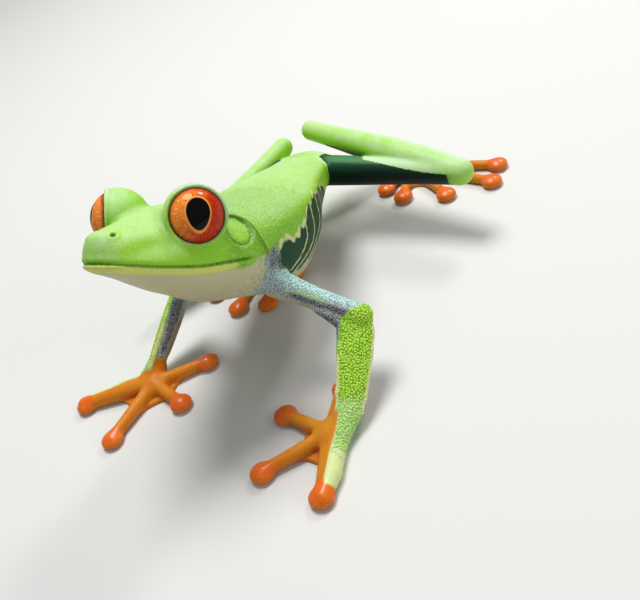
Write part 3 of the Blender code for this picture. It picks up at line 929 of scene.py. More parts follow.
STRIPE_EDGE = 0.9  # of the green along the thigh's top, round the thigh from its middle
STRIPE_WIDENS = (0.8, 0.3, 0.98)  # how much towards the knee, from where and up to where
BLEND_OF_PARTS = 0.3
LEAST_WEIGHT = 0.002  # of a part at a point, below which its marks aren't worked out there
ELBOW_LINE = 0.7  # how far up the arm from the elbow the forearm's green begins
CREASE_REACH = 0.8

# Where granules grow: from where and up to where on each mask, or in millimetres.
KNOB_PEBBLE = (0.6, 0.85)
SHAGREEN_PEBBLE = ((0.3, 0.45), (0.58, 0.7))
GRAIN_LILAC = (0.52, 0.78)
WART_CREAM = (0.6, 0.9)
WART_HEIGHT = (3.0, 4.5)  # above the floor, as is the next
GRANULE_HEIGHT = (0.3, 0.7)
BARE_FACE = (-3.5, -1.5)  # forwards from the head's centre
# No granules where the painted shade is strong.
BARE_SHADE = (0.2, 0.5)


# Painted shade along the ear fold.
def ear_fold_painted_shade(points):
    return EAR_FOLD_SHADE * ear_fold_at(points, EAR_FOLD_SHADE_WIDTH)


def marks_of_head(points):
    x, y, z = in_head(points).T
    below = lip_height(y) - z
    drum = drum_ratio(y, z)
    hole = nostril_distance(x, y, z)
    # Painted shade along the lips' seam, on the ring of the ear drum and in the nostrils.
    mouth = humped(below, *MOUTH_LINE) * ramp(-y, *(end - LIP_CORNER for end in MOUTH_BACK))
    least, more = DRUM_SHADE
    shade = least + more * ramp(z - TYMPANUM[2] + 0.5 * (y - TYMPANUM[1]), -1.2, 0.4)
    ring = humped(drum, shade, *DRUM_LINE) * ramp(np.abs(x), *CHEEK)
    nostril = 1.0 - ramp(hole, *NOSTRIL_HOLE)
    lip = between(below, *LIP_BAND) * ramp(-y, -LIP_CORNER, LIP_BAND_END)
    back, out = LID_LINE
    least, more = LID_PALENESS
    upper = least + more * ramp(z - EYE_CENTRE[2] + 0.8 * (y - EYE_CENTRE[1]), -0.5, 2.5)
    lids = []
    for side in SIDES.values():
        ahead, away = eye_place(points, side)
        rim = np.hypot(ahead - LID_EDGE + back, away - out)
        lids.append((1.0 - ramp(rim, *LID_LINE_WIDTH)) * upper)
    inside_drum = 1.0 - ramp(drum, 0.7, 1.0)
    return {
        "cream": ramp(below, *THROAT_TOP),
        "lip": np.maximum(lip, humped(hole, *NOSTRIL_RIM)),
        "dark": np.maximum.reduce([mouth, ring, nostril, ear_fold_painted_shade(points)]),
        "pale": np.maximum(*lids),
        "pebble": 0.1 + 0.45 * ramp(y, 1.0, 5.5) * (1.0 - 0.6 * inside_drum),
    }


def marks_of_trunk(points):
    start, end = np.array(NECK), np.array(SACRUM)
    along = unit(end - start)
    upwards = np.cross((1.0, 0.0, 0.0), along)
    distance, rise = (points - start) @ along, (points - start) @ upwards
    wave = sum(height * np.sin(points[:, 1] * pace + shift) for height, pace, shift in FLANK_WAVES)
    top = FLANK_TOP + wave - humped(distance, *FLANK_DIP)
    for step in FLANK_STEPS:
        top = top + stepped(distance, *step)
    foot = FLANK_FOOT + 0.3 * wave + stepped(distance, *FOOT_STEP)
    back_end = 1.0 - ramp(distance, FLANK_END - 1.5, FLANK_END + 1.5)
    front = 1.0 - ramp(distance, 8.0, 12.0)
    jagged = 0.8 + 0.2 * np.sin(points[:, 1] * 3.1 + 0.6)
    drop = np.maximum(-BARS_BELOW_SPINE - rise, 0.0)
    bend = distance + BAR_BEND * drop**2 + 0.2 * wave
    phase = np.abs((bend - BAR_START + BAR_SPACING / 2) % BAR_SPACING - BAR_SPACING / 2)
    slope = np.hypot(1.0, 2.0 * BAR_BEND * drop)
    # The shoulder, in front of the flank's blue, and the painted shade in the hollow of the armpit behind it.
    shoulder = 1.0 - ramp(distance, SHOULDER_END - SHOULDER_SOFTNESS, SHOULDER_END + SHOULDER_SOFTNESS)
    low = ramp(-1.6 - rise, -0.6, 0.6)
    from_arm = np.min([np.linalg.norm(points - arm_joints(side)[0], axis=1) for side in SIDES], axis=0)
    lilac = shoulder * low * (1.0 - ramp(from_arm, *SHOULDER_BALL)) * ramp(distance, -1.6, -0.4)
    cream = np.maximum(ramp(foot - rise, -0.3, 0.3), shoulder * low * (1.0 - lilac))
    navy = ramp(top - rise, -0.2, 0.2) * ramp(rise - foot, -0.3, 0.3) * back_end * (1.0 - shoulder)
    armpit = hump(distance - SHOULDER_END, 0.8) * ramp(-rise, 2.4, 3.4) * ramp(rise - foot, 0.0, 1.0)
    patch = humped(distance, *SHOULDER_SHADE) * between(-rise, *SHOULDER_SHADE_DROP)
    edge = hump(rise - top + 0.1, 0.28 + 0.36 * front) * jagged * back_end
    bar = hump(phase / slope, 0.2) * ramp(bend, BAR_START - 1.1, BAR_START - 0.9)
    return {
        "lilac": lilac,
        "cream": cream,
        "wart": cream,
        "navy": navy,
        "bar": bar * (1.0 - shoulder),
        "edge": edge * (1.0 - 0.7 * shoulder),
        "pale": 0.6 * ramp(navy, 0.5, 1.0),
        "band": np.maximum(armpit, patch),
        "pebble": 0.55 - 0.4 * ramp(distance, 5.0, 20.0),
        "dark": ear_fold_painted_shade(points),
    }


def around(points, start, end, direction, side="L"):
    """(share along a limb, cosine of the angle between each point's side of the limb and a direction).
    The direction is the left side's, and is mirrored for the right.
    """
    direction = np.multiply(direction, (SIDES[side], 1.0, 1.0))
    share, offset = limb_place(points, start, end)
    direction = across(direction, unit(np.subtract(end, start)))
    return share, (offset @ direction) / np.maximum(np.linalg.norm(offset, axis=1), TINY)


def past_elbow(points, side):
    """0 on the upper arm's blue and 1 on the forearm's green."""
    shoulder, elbow, wrist = arm_joints(side)
    beyond = (points - elbow) @ unit(unit(elbow - shoulder) + unit(wrist - elbow)) + ELBOW_LINE
    return ramp(beyond, -0.2, 0.2)


def marks_of_upper_arm(points, side):
    arm = ARMS[side]
    share, up = around(points, arm["shoulder"], arm["elbow"], UPPER_ARM_TOP, side)
    # A band of painted shade along the arm's lower side, and under it near the elbow.
    band = hump(up + 0.46 - 0.25 * share, 0.33) * ramp(share, 0.1, 0.4)
    blue = {
        "lilac": np.ones(len(points)),
        "pale": ramp(up, 0.1, 0.6),
        "cream": 0.9 * ramp(-up, 0.68, 0.86),
        "band": np.maximum(band, 0.7 * ramp(share, 0.8, 1.0) * ramp(-up, 0.0, 0.5)),
        "smear": hump(share - 0.46, 0.25) * hump(up - 0.04, 0.36),
    }
    green = past_elbow(points, side)
    marks = {name: values * (1.0 - green) for name, values in blue.items()}
    marks["pebble"] = 0.5 + 0.5 * green
    return marks


def marks_of_forearm(points, side):
    arm = ARMS[side]
    share, face = around(points, arm["elbow"], arm["wrist"], FOREARM_FACE[side])
    inner = ramp(-face, 0.0, 0.2)
    wrist = ramp(share, 0.7, 1.0)
    blue = 1.0 - past_elbow(points, side)
    under = ramp(-face, 0.6, 0.85) * between(share, (0.1, 0.4), (0.75, 1.0))
    edge = np.min([line_distance(points, line) for line in forearm_edges(side)], axis=0)
    marks = {
        "lilac": np.maximum(inner * (1.0 - wrist), blue),
        # A band of painted shade along the forearm's inner side.
        "band": 0.8 * hump(face + 0.5, 0.25) * between(share, (0.1, 0.35), (0.7, 0.95)),
        "cream": under,
        # Painted shade under the forearm.
        "dark": 0.6 * under,
        "orange": inner * wrist,
        "edge": 0.9 * (1.0 - ramp(edge, 0.27, 0.45)) * (1.0 - blue),
        "pebble": np.maximum(ramp(face, 0.0, 0.3), 0.5),
        "pale": 0.5 * ramp(share, 0.8, 1.0),
    }
    # The loose skin in the elbow's fold: pale blue, with painted shade.
    folded = 1.0 - ramp(chain_distance(points, elbow_fold(side), ELBOW_FOLD_RADII), 0.15, 0.6)
    folded *= 1.0 - ramp(face, 0.1, 0.5)
    for name, most in (("lilac", 1.0), ("band", 0.75), ("edge", 0.0), ("pebble", 0.5)):
        marks[name] = marks[name] * (1.0 - folded) + most * folded
    return marks


def marks_of_digits(points, tips):
    nearest = np.min([np.linalg.norm(points[:, :2] - tip, axis=1) for tip in tips], axis=0)
    return {"orange": np.ones(len(points)), "disc": 1.0 - ramp(nearest, 1.2, 2.0)}


def marks_of_hand(points, side):
    marks = marks_of_digits(points, FINGER_TIPS[side])
    line = outer_edge(side)
    share, offset = limb_place(points, line[0], line[3])
    out = offset @ hand_outwards(side)
    outer = ramp(out - 0.4 * ramp(share, 0.5, 0.95), -0.8, -0.2) * (1.0 - ramp(share, 0.82, 0.96))
    marks["orange"] *= 1.0 - outer
    marks["edge"] = 0.8 * outer * ramp(out, 0.9, 1.5)
    marks["pale"] = 0.5 * outer
    marks["smear"] = outer
    marks["pebble"] = outer * (1.0 - ramp(share, 0.35, 0.75))
    flat = points * (1.0, 1.0, 0.0)
    for first, second in zip(FINGER_TIPS[side], FINGER_TIPS[side][1:]):
        outline = web_outline(PALMS[side], first, second, FINGER_WEB_REACH)[2:-1]
        line = [np.array((*knot, 0.0)) for knot in outline]
        marks["edge"] = np.maximum(marks["edge"], 0.3 * hump(line_distance(flat, line), 0.2))
    return marks


def marks_of_foot(points, side):
    return marks_of_digits(points, TOE_TIPS[side])


def marks_of_thigh(points, side):
    leg = LEGS[side]
    share, up = around(points, leg["hip"], leg["knee"], THIGH_TOP, side)
    above = up - STRIPE_EDGE + stepped(share, *STRIPE_WIDENS)
    stripe = ramp(above, -0.07, 0.07) * ramp(share, 0.22, 0.42)
    outer = ramp(share, 0.5, 0.9)
    navy = 1.0 - np.maximum(stripe, ramp(share, 0.93, 0.99))
    return {
        "navy": navy,
        "pale": humped(up, 0.9, STRIPE_EDGE, 0.35) * (1.0 - outer) + 0.4 * outer,
        # Painted shade on the thigh's underside.
        "dark": navy * ramp(0.5 - up, 0.0, 0.6),
        "edge": 0.75 * hump(above, 0.06) * ramp(share, 0.4, 0.6),
    }


def marks_of_shank(points, side):
    leg = LEGS[side]
    share, back = around(points, leg["knee"], leg["heel"], SHANK_BACK, side)
    share, under = around(points, leg["knee"], leg["heel"], SHANK_UNDER, side)
    return {
        # A painted highlight of mint along the shank's upper back.
        "pale": 0.55 * ramp(back, 0.55, 0.95),
        "navy": ramp(under, 0.6, 0.85) * between(share, (0.05, 0.2), (0.75, 0.95)),
    }


def marks_of_tarsus(points, side):
    leg = LEGS[side]
    share, out = around(points, leg["heel"], leg["foot"], TARSUS_BACK, side)
    return {"orange": ramp(-out, -0.1, 0.3) * ramp(share, 0.1, 0.35), "pale": ramp(out, 0.2, 0.6)}


def marks_at(points, parts):
    """Each mask at each point: those of the parts, blended where two parts meet."""
    makers = {
        "head": marks_of_head,
        "trunk": marks_of_trunk,
        "upper_arm": marks_of_upper_arm,
        "forearm": marks_of_forearm,
        "hand": marks_of_hand,
        "thigh": marks_of_thigh,
        "shank": marks_of_shank,
        "tarsus": marks_of_tarsus,
        "foot": marks_of_foot,
    }
    distances = np.stack([field_at(forms, points) for forms in parts.values()])
    nearness = np.exp(-(distances - distances.min(axis=0)) / BLEND_OF_PARTS)
    nearness /= nearness.sum(axis=0)
    total = {name: np.zeros(len(points)) for name in MASKS}
    for name, weight in zip(parts, nearness):
        near = np.flatnonzero(weight > LEAST_WEIGHT)
        if name in makers:
            marks = makers[name](points[near])
        else:
            marks = makers[name[:-2]](points[near], name[-1])
        for mask, values in marks.items():
            total[mask][near] += values * weight[near]
    return total


def crease_shade_at(forms, points, normals):
    """0 on open skin and up to 1 in creases, from how little the field rises outside the skin. The skin's
    material paints shade by it.
    """
    risen = field_at(forms, points + normals * CREASE_REACH)
    return np.clip(1.0 - risen / CREASE_REACH, 0.0, 1.0)


def granule_masks(marks, points):
    """Where each kind of granule grows."""
    off_floor = ramp(points[:, 2], *GRANULE_HEIGHT)
    plain = (1.0 - marks["edge"]) * (1.0 - marks["orange"]) * (1.0 - marks["navy"]) * off_floor
    on_face = ramp(-in_head(points)[:, 1], *BARE_FACE)
    clear = plain * (1.0 - on_face) * (1.0 - ramp(marks["dark"], *BARE_SHADE))
    green = clear * (1.0 - marks["lilac"]) * (1.0 - marks["cream"])
    return {
        "knobs": ramp(marks["pebble"], *KNOB_PEBBLE) * green,
        "grains": ramp(marks["lilac"], *GRAIN_LILAC) * plain,
        "shagreen": between(marks["pebble"], *SHAGREEN_PEBBLE) * green,
        "warts": ramp(marks["wart"], *WART_CREAM) * plain * ramp(points[:, 2], *WART_HEIGHT),
    }


# ---------------------------------------------------------------- materials


def new_node(tree, kind, settings, values):
    """Adds a node of a type, with its settings, then the value or the link of each of its sockets."""
    node = tree.nodes.new(kind)
    for name, value in (settings or {}).items():
        setattr(node, name, value)
    for key, value in values.items():
        if isinstance(value, bpy.types.NodeSocket):
            tree.links.new(value, node.inputs[key])
        else:
            node.inputs[key].default_value = value
    return node


class Wire:
    """A shader socket that takes part in Python expressions, each of which adds its Math node."""

    def __init__(self, board, socket):
        self.board = board
        self.socket = socket

    def math(self, operation, *others):
        return self.board.node("ShaderNodeMath", {"operation": operation}, self, *others)

    def __add__(self, other):
        return self.math("ADD", other)

    __radd__ = __add__

    def __mul__(self, other):
        return self.math("MULTIPLY", other)

    __rmul__ = __mul__

    def __sub__(self, other):
        return self.math("SUBTRACT", other)

    def __rsub__(self, other):
        return self.board.node("ShaderNodeMath", {"operation": "SUBTRACT"}, other, self)

    def __truediv__(self, other):
        return self.math("DIVIDE", other)

    def __pow__(self, other):
        return self.math("POWER", other)

    def most(self, other):
        return self.math("MAXIMUM", other)

    def ramp(self, low, high):
        """0 at low, 1 at high, with a smooth rise between them."""
        settings = {"interpolation_type": "SMOOTHSTEP"}
        return self.board.node("ShaderNodeMapRange", settings, self, low, high, 0.0, 1.0)


class Board:
    """A material's node tree."""

    def __init__(self, name):
        self.material = bpy.data.materials.new(name)
        self.material.use_nodes = True
        self.tree = self.material.node_tree
        self.tree.nodes.clear()

    def node(self, kind, settings=None, *values, out=0, **named):
        """Adds a node, whose sockets are given by number or by name. Gives one of its outputs."""
        sockets = dict(enumerate(values))
        sockets.update({name.replace("_", " "): value for name, value in named.items()})
        sockets = {key: value.socket if isinstance(value, Wire) else value for key, value in sockets.items()}
        node = new_node(self.tree, kind, settings, sockets)
        return Wire(self, node.outputs[out]) if node.outputs else None

    def mask(self, name):
        return self.node("ShaderNodeAttribute", {"attribute_name": name}, out="Fac")

    def place(self):
        return self.node("ShaderNodeTexCoord", out="Object")

    def noise(self, place, scale, detail=2.0, roughness=0.5):
        sockets = {"Vector": place, "Scale": scale, "Detail": detail, "Roughness": roughness}
        return self.node("ShaderNodeTexNoise", None, **sockets)

    def cells(self, place, scale):
        return self.node("ShaderNodeTexVoronoi", {"feature": "F1"}, Vector=place, Scale=scale)

    def mix(self, share, first, second):
        """The first colour, turning into the second as share goes from 0 to 1."""
        ends = [end.socket if isinstance(end, Wire) else (*end, 1.0) for end in (first, second)]
        sockets = {0: share.socket, 6: ends[0], 7: ends[1]}
        return Wire(self, new_node(self.tree, "ShaderNodeMix", {"data_type": "RGBA"}, sockets).outputs[2])

    def finish(self, **sockets):
        """Adds the surface shader, with values or links for its sockets, and the output."""
        surface = self.node("ShaderNodeBsdfPrincipled", None, **sockets)
        self.node("ShaderNodeOutputMaterial", None, surface)
        return self.material


COLOURS = {
    # Painted shade in creases and in the grooves between granules.
    "shaded green": (0.085, 0.290, 0.005),
    # Painted shade on the skin's low sides.
    "shaded low green": (0.240, 0.600, 0.014),
    # The knobs: painted shade in their grooves and painted light on their tops.
    "shaded knob groove": (0.170, 0.380, 0.008),
    "knob side": (0.310, 0.580, 0.028),
    "lit knob top": (0.560, 0.840, 0.110),
    "blush": (0.560, 0.470, 0.330),
    "lip yellow": (0.610, 0.640, 0.150),
    "teal": (0.001, 0.056, 0.014),
    "hip green": (0.100, 0.320, 0.110),
    # The arms: darker between the granules, as painted shade.
    "shoulder gap": (0.200, 0.230, 0.260),
    "shoulder top": (0.500, 0.590, 0.560),
    # Painted shade between the granules, in the arms' shade bands and in the armpit.
    "band gap": (0.018, 0.028, 0.040),
    "ice gap": (0.160, 0.300, 0.280),
    # Painted shade on the granules' tops in the arms' shade bands.
    "band top": (0.215, 0.268, 0.248),
    "smear": (0.370, 0.560, 0.240),
    "plum": (0.270, 0.220, 0.260),
    "rind": (0.600, 0.700, 0.380),
    "orange shade": (0.560, 0.070, 0.003),
    # Painted shade on green skin.
    "moss shade": (0.045, 0.130, 0.006),
    # Painted shade on cream skin.
    "crease shade": (0.120, 0.070, 0.030),
    "iris fleck": (0.950, 0.550, 0.400),
    "iris shade": (0.140, 0.009, 0.002),
    "iris edge": (0.005, 0.003, 0.002),
    "pupil": (0.001, 0.0015, 0.001),
}
# Sizes of the patterns in the skin, as scales of their textures: patches, mottling, pores, and cells as
# large as the granules on pebbled skin and on smooth skin.
BROAD_SCALE = 110.0
MIDDLE_SCALE = 600.0
FINE_SCALE = 2600.0
PEBBLE_SCALE = 3300.0
SMOOTH_SCALE = 4300.0
BUMP_HEIGHT = 0.0001
# How much of a colour is laid over the one before it, at most.
COVER = {
    "shaded low green": 0.5,
    "crease shade": 0.7,
    "pale knobs": 0.8,
    "smear": 0.8,
    "bars": 0.8,
    "armpit": 0.85,
    "orange crease": 0.8,
    "edge": 0.85,
    "gold ring": 0.85,
}
# Patches of a second colour: where in the noise it begins, and how fast it comes.
PATCHES = {
    "sun": (0.35, 1.8),
    "teal": (0.2, 1.3),
    "blush": (0.3, 1.5),
    "amber": (0.25, 1.5),
    "lip yellow": (0.35, 2.2),
    "streak": (0.42, 1.6),
}
# How far the edge of a marking wanders with the mottling, then the mask where it begins and is full.
RAGGED = {
    "band": (0.7, 0.2, 0.7),
    "smear": (1.2, 0.25, 0.95),
    "lilac": (0.5, 0.4, 0.6),
    "navy": (0.45, 0.42, 0.58),
    "cream": (0.35, 0.4, 0.62),
    "orange": (0.5, 0.25, 0.75),
    "edge": (0.6, 0.4, 0.7),
}


def patches(noise, name):
    start, gain = PATCHES[name]
    return (noise - start) * gain


def skin_material(looks):
    """The skin's markings, with painted light and shade. The granules over it have the same, with their own
    height in "rise".
    """
    board = Board("frog skin")
    c = COLOURS
    place = board.place()
    mask = {name: board.mask(name) for name in (*PAINTED, "hollow", "sky", "granule", "rise")}
    broad = board.noise(place, BROAD_SCALE, 3.0)
    middle = board.noise(place, MIDDLE_SCALE, 3.0, 0.6)
    fine = board.noise(place, FINE_SCALE, 2.0)

    def ragged(name):
        """A mask whose edge wanders with the mottling."""
        wander, low, high = RAGGED[name]
        return (mask[name] + (middle - 0.5) * wander).ramp(low, high)

    # Height of the granules, from 0 in a groove to 1 on a top.
    pebbled = mask["pebble"].ramp(*KNOB_PEBBLE)
    cells = board.cells(place, PEBBLE_SCALE) * pebbled + board.cells(place, SMOOTH_SCALE) * (1.0 - pebbled)
    painted = 1.0 - cells.ramp(0.1, 0.75)
    rise = painted * (1.0 - mask["granule"]) + mask["rise"] * mask["granule"]

    # Green: lighter on what faces up, with a painted sheen of mint there and on the pale parts,
    # and deeper low on the sides and in creases, where shade is painted.
    green = board.mix(patches(broad, "sun"), looks["leaf_green"], looks["sun_green"])
    green = board.mix((1.0 - mask["sky"]) * COVER["shaded low green"], green, c["shaded low green"])
    light = (mask["sky"].ramp(0.4, 1.0) * (0.36 + 0.8 * (middle - 0.4)) + mask["pale"]).ramp(-0.05, 1.0)
    green = board.mix(light, green, looks["mint"])
    # Painted shade in the creases.
    green = board.mix(mask["hollow"] * COVER["crease shade"], green, c["shaded green"])
    # Painted shade in the grooves between granules, and a painted highlight of mint on their tops.
    green = board.mix((1.0 - rise) * (0.08 + 0.75 * mask["pebble"]), green, c["shaded green"])
    green = board.mix((rise - 0.6).most(0.0) * mask["pebble"] * 1.3, green, looks["mint"])
    # The forearm's knobs: painted shade in their grooves and painted light on their tops.
    knobs = board.mix(rise.ramp(0.05, 0.5), c["shaded knob groove"], c["knob side"])
    knobs = board.mix(rise.ramp(0.4, 0.95), knobs, c["lit knob top"])
    knobs = board.mix(mask["pale"] * COVER["pale knobs"], knobs, looks["mint"])
    colour = board.mix(pebbled, green, knobs)

    # The pale blue arms, with painted shade between their granules.
    gap = board.mix(mask["pale"], c["shoulder gap"], c["ice gap"])
    top = board.mix(mask["pale"], c["shoulder top"], looks["arm_blue"])
    # Bands of painted shade along the arms' lower sides, with plum in places.
    shaded_band = ragged("band")
    gap = board.mix(shaded_band, gap, c["band gap"])
    top = board.mix(shaded_band, top, board.mix(broad.ramp(0.45, 0.62), c["band top"], c["plum"]))
    arm = board.mix((rise * 1.3 + (middle - 0.5) * 0.9 + 0.1).ramp(0.1, 1.0), gap, top)
    arm = board.mix(ragged("smear") * COVER["smear"], arm, c["smear"])
    colour = board.mix(ragged("lilac"), colour, arm)

    # The blue-black flank and thighs, with their cream bars and ragged upper edge.
    # Where the painted shade falls, the flank and thighs keep their darkest blue.
    lit = (patches(broad, "teal") + mask["pale"]) * (1.0 - mask["dark"])
    night = board.mix(lit, looks["night"], c["teal"])
    night = board.mix((mask["pale"] - 0.62).most(0.0) * 2.2, night, c["hip green"])
    navy = ragged("navy")
    colour = board.mix(navy * (1.0 - mask["lilac"].ramp(0.3, 0.6)), colour, night)
    bars = (mask["bar"] * navy + (middle - 0.5) * 0.5).ramp(0.4, 0.7)
    colour = board.mix(bars * COVER["bars"], colour, looks["edge_cream"])
    # Painted shade in the armpit and behind the shoulder.
    colour = board.mix(mask["band"] * COVER["armpit"] * (1.0 - mask["lilac"]), colour, c["band gap"])

    # Throat and belly, their cream darker and more olive as painted shade and painted green bounce light.
    belly = board.mix(patches(broad, "blush"), looks["belly_cream"], c["blush"])
    colour = board.mix(ragged("cream"), colour, belly)
    colour = board.mix(mask["lip"].ramp(0.3, 0.7), colour, c["lip yellow"])

    # Hands and feet.
    orange = board.mix(patches(broad, "amber"), looks["orange"], looks["amber"])
    orange = board.mix(mask["disc"], orange, looks["disc_red"])
    # Painted shade in the creases of the hands and feet, and darker orange at random where the mottling is
    # low.
    folds = mask["hollow"] * COVER["orange crease"] + (0.5 - middle).most(0.0) * 1.4
    orange = board.mix(folds, orange, c["orange shade"])
    orange = board.mix((fine * middle - 0.28).most(0.0) * 3.0, orange, looks["amber"])
    rind = board.mix(patches(middle, "lip yellow"), c["rind"], c["lip yellow"])
    outer = board.mix((mask["smear"] * (1.0 - mask["lilac"]) - pebbled * 0.8).ramp(0.1, 0.9), colour, rind)
    colour = board.mix(ragged("orange"), outer, orange)
    colour = board.mix(ragged("edge") * COVER["edge"], colour, looks["edge_cream"])

    # Painted shade in creases, on the ring of the ear drum, along the closed lips, in the nostrils and under
    # the forearms.
    shade = board.mix(mask["cream"], c["moss shade"], c["crease shade"])
    colour = board.mix(mask["dark"] * (1.0 - navy), colour, shade)

    wrinkles = (middle + fine * 0.5) * mask["orange"] * 1.6
    height = rise * (0.2 + mask["pebble"]) * (1.0 - mask["granule"]) + fine * 0.3 + wrinkles
    bump = board.node("ShaderNodeBump", None, Strength=0.5, Distance=BUMP_HEIGHT, Height=height)
    return board.finish(
        Base_Color=colour,
        Roughness=0.40 + 0.16 * middle + 0.1 * mask["pebble"] - 0.12 * mask["disc"],
        Normal=bump,
        Subsurface_Weight=0.12,
        Subsurface_Radius=(0.8, 0.5, 0.25),
        Subsurface_Scale=0.0012,
        Specular_IOR_Level=0.18,
        Coat_Weight=0.03 + 0.3 * mask["disc"],
        Coat_Roughness=0.2,
    )


IRIS_EDGE = 0.895  # of the eyeball's radius
IRIS_SHADE = 0.14  # widths of the darker red and of the black round the iris
IRIS_BLACK = 0.04
PUPIL_WIDTH = 0.38
PUPIL_HEIGHT = 0.49
PUPIL_RISE = 0.1
PUPIL_DROP = 1.18  # shares of its height below its middle and above it
PUPIL_TOP = 0.95
PUPIL_POINT = 1.55  # powers of its outline below its middle and above it
PUPIL_ROUND = 2.2
PUPIL_EDGE = (0.93, 1.03)  # in shares of its outline
GOLD_RING = (1.12, 1.38)


def eye_material(looks):
    """An iris round a pupil that comes to a point below. Its UV is (forwards, up) over the eye's radius."""
    board = Board("frog eye")
    place = board.node("ShaderNodeUVMap", {"uv_map": "iris"})
    across = board.node("ShaderNodeSeparateXYZ", None, place)
    upwards = board.node("ShaderNodeSeparateXYZ", None, place, out=1)
    radius = (across * across + upwards * upwards) ** 0.5
    raised = upwards - PUPIL_RISE
    angle = raised.math("ARCTAN2", across)
    streaks = board.node("ShaderNodeCombineXYZ", None, angle * 7.0, radius * 3.0, 0.0)
    streak = board.noise(streaks, 2.2, 4.0, 0.6)
    blotch = board.noise(place, 3.5, 3.0, 0.6)
    fleck = board.noise(place, 13.0, 2.0, 0.6)

    front = (0.35 + across * 0.85 + raised * 0.35 + (blotch - 0.5) * 0.9).ramp(0.0, 1.0)
    iris = board.mix(front, looks["iris_red"], looks["iris_orange"])
    iris = board.mix(patches(streak, "streak") * (0.35 + front), iris, looks["iris_gold"])
    iris = board.mix((fleck - 0.57).most(0.0) * 6.0 * front, iris, COLOURS["iris fleck"])

    above = raised.ramp(-0.02, 0.02)
    height = PUPIL_HEIGHT * (PUPIL_DROP - (PUPIL_DROP - PUPIL_TOP) * above)
    power = PUPIL_POINT + (PUPIL_ROUND - PUPIL_POINT) * above
    shape = (across / PUPIL_WIDTH) ** 2.0 + (raised / height).math("ABSOLUTE") ** power
    pupil = 1.0 - shape.ramp(*PUPIL_EDGE)
    gold = (1.0 - shape.ramp(*GOLD_RING)) * (1.0 - pupil)
    colour = board.mix(gold * COVER["gold ring"], iris, looks["iris_gold"])
    colour = board.mix(radius.ramp(IRIS_EDGE - IRIS_SHADE, IRIS_EDGE), colour, COLOURS["iris shade"])
    colour = board.mix(radius.ramp(IRIS_EDGE - IRIS_BLACK, IRIS_EDGE + 0.01), colour, COLOURS["iris edge"])
    colour = board.mix(pupil, colour, COLOURS["pupil"])
    return board.finish(
        Base_Color=colour,
        Roughness=0.5,
        Specular_IOR_Level=0.0,
        Coat_Weight=0.5,
        Coat_Roughness=0.02,
        Coat_IOR=1.38,
    )


def plain_material(name, colour, roughness):
    board = Board(name)
    tone = board.noise(board.place(), 18.0, 4.0)
    shade = board.mix(tone * 0.5, colour, tuple(part * 0.96 for part in colour))
    return board.finish(Base_Color=shade, Roughness=roughness)


# ---------------------------------------------------------------- pieces


def placed(points):
    """Millimetres of the pose as metres of the frame."""
    return (np.asarray(points, float) - (*BOX_MIDDLE, 0.0)) * MM


def new_object(name, data):
    made = bpy.data.objects.new(name, data)
    bpy.context.scene.collection.objects.link(made)
    return made


def new_piece(name, mesh):
    piece = new_object(name, mesh)
    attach(piece, "root")
    return piece


def new_mesh(name, points, faces, material):
    mesh = bpy.data.meshes.new(name)
    mesh.from_pydata(placed(points).tolist(), [], faces)
    mesh.update()
    mesh.shade_smooth()
    mesh.materials.append(material)
    return mesh


LIMB_PARTS = ("upper_arm", "forearm", "hand", "thigh", "shank", "tarsus", "foot")
FLESH = ("head", "trunk", *(f"{name}_{side}" for side in SIDES for name in LIMB_PARTS))


def make_skin(looks):
    parts = body_parts()
    forms = [form for part in parts.values() for form in part] + finishing_forms()
    points, triangles = skin_mesh(forms)
    mesh = new_mesh("skin", points, triangles.tolist(), skin_material(looks))
    slope = gradient_at(forms, points)
    normals = slope / np.maximum(np.linalg.norm(slope, axis=1, keepdims=True), TINY)
    marks = marks_at(points, parts)
    # How deep each point lies in a crease, for the painted shade there.
    marks["hollow"] = crease_shade_at(forms, points, normals)
    # How much the skin faces up: for the painted sheen on top and the painted shade low on the sides.
    marks["sky"] = ramp(normals[:, 2], -0.2, 0.95)
    marks.update(granule_masks(marks, points))
    for name, values in marks.items():
        layer = mesh.attributes.new(name, "FLOAT", "POINT")
        layer.data.foreach_set("value", values.astype(np.float32))
    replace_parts(new_piece("skin", mesh), *FLESH)


# Granules: (piece, mask, spacing and radius in millimetres, height as a share of the radius).
GRANULES = (
    ("forearm_granules", "knobs", 0.26, 0.172, 0.8),
    ("arm_granules", "grains", 0.21, 0.118, 0.65),
    ("neck_granules", "shagreen", 0.25, 0.120, 0.5),
    ("belly_granules", "warts", 0.50, 0.270, 0.45),
)
GRANULE_SEED = 7
GRANULES_PER_AREA = 4e7  # before those nearer than the spacing are left out
LEAST_MASK = 0.02
SIZE_SPREAD = (0.82, 1.1)
RISE_SLOPE = 0.69  # of the height on a granule, which reaches 1 at its top
PATCH_RADIUS = 0.0015  # of one granule on the map
UNWRAP_ANGLE = math.radians(66.0)
UNWRAP_MARGIN = 0.001


class Grove:
    """A tree of Geometry Nodes with named inputs."""

    def __init__(self, name):
        self.tree = bpy.data.node_groups.new(name, "GeometryNodeTree")
        self.tree.is_modifier = True
        self.entry = self.tree.nodes.new("NodeGroupInput")

    def asks(self, name, kind):
        self.tree.interface.new_socket(name=name, in_out="INPUT", socket_type=kind)
        return self.entry.outputs[name]

    def node(self, kind, settings=None, values=None, out=0):
        return new_node(self.tree, kind, settings, values or {}).outputs[out]

    def gives(self, geometry):
        self.tree.interface.new_socket(name="Geometry", in_out="OUTPUT", socket_type="NodeSocketGeometry")
        self.tree.links.new(geometry, self.tree.nodes.new("NodeGroupOutput").inputs[0])


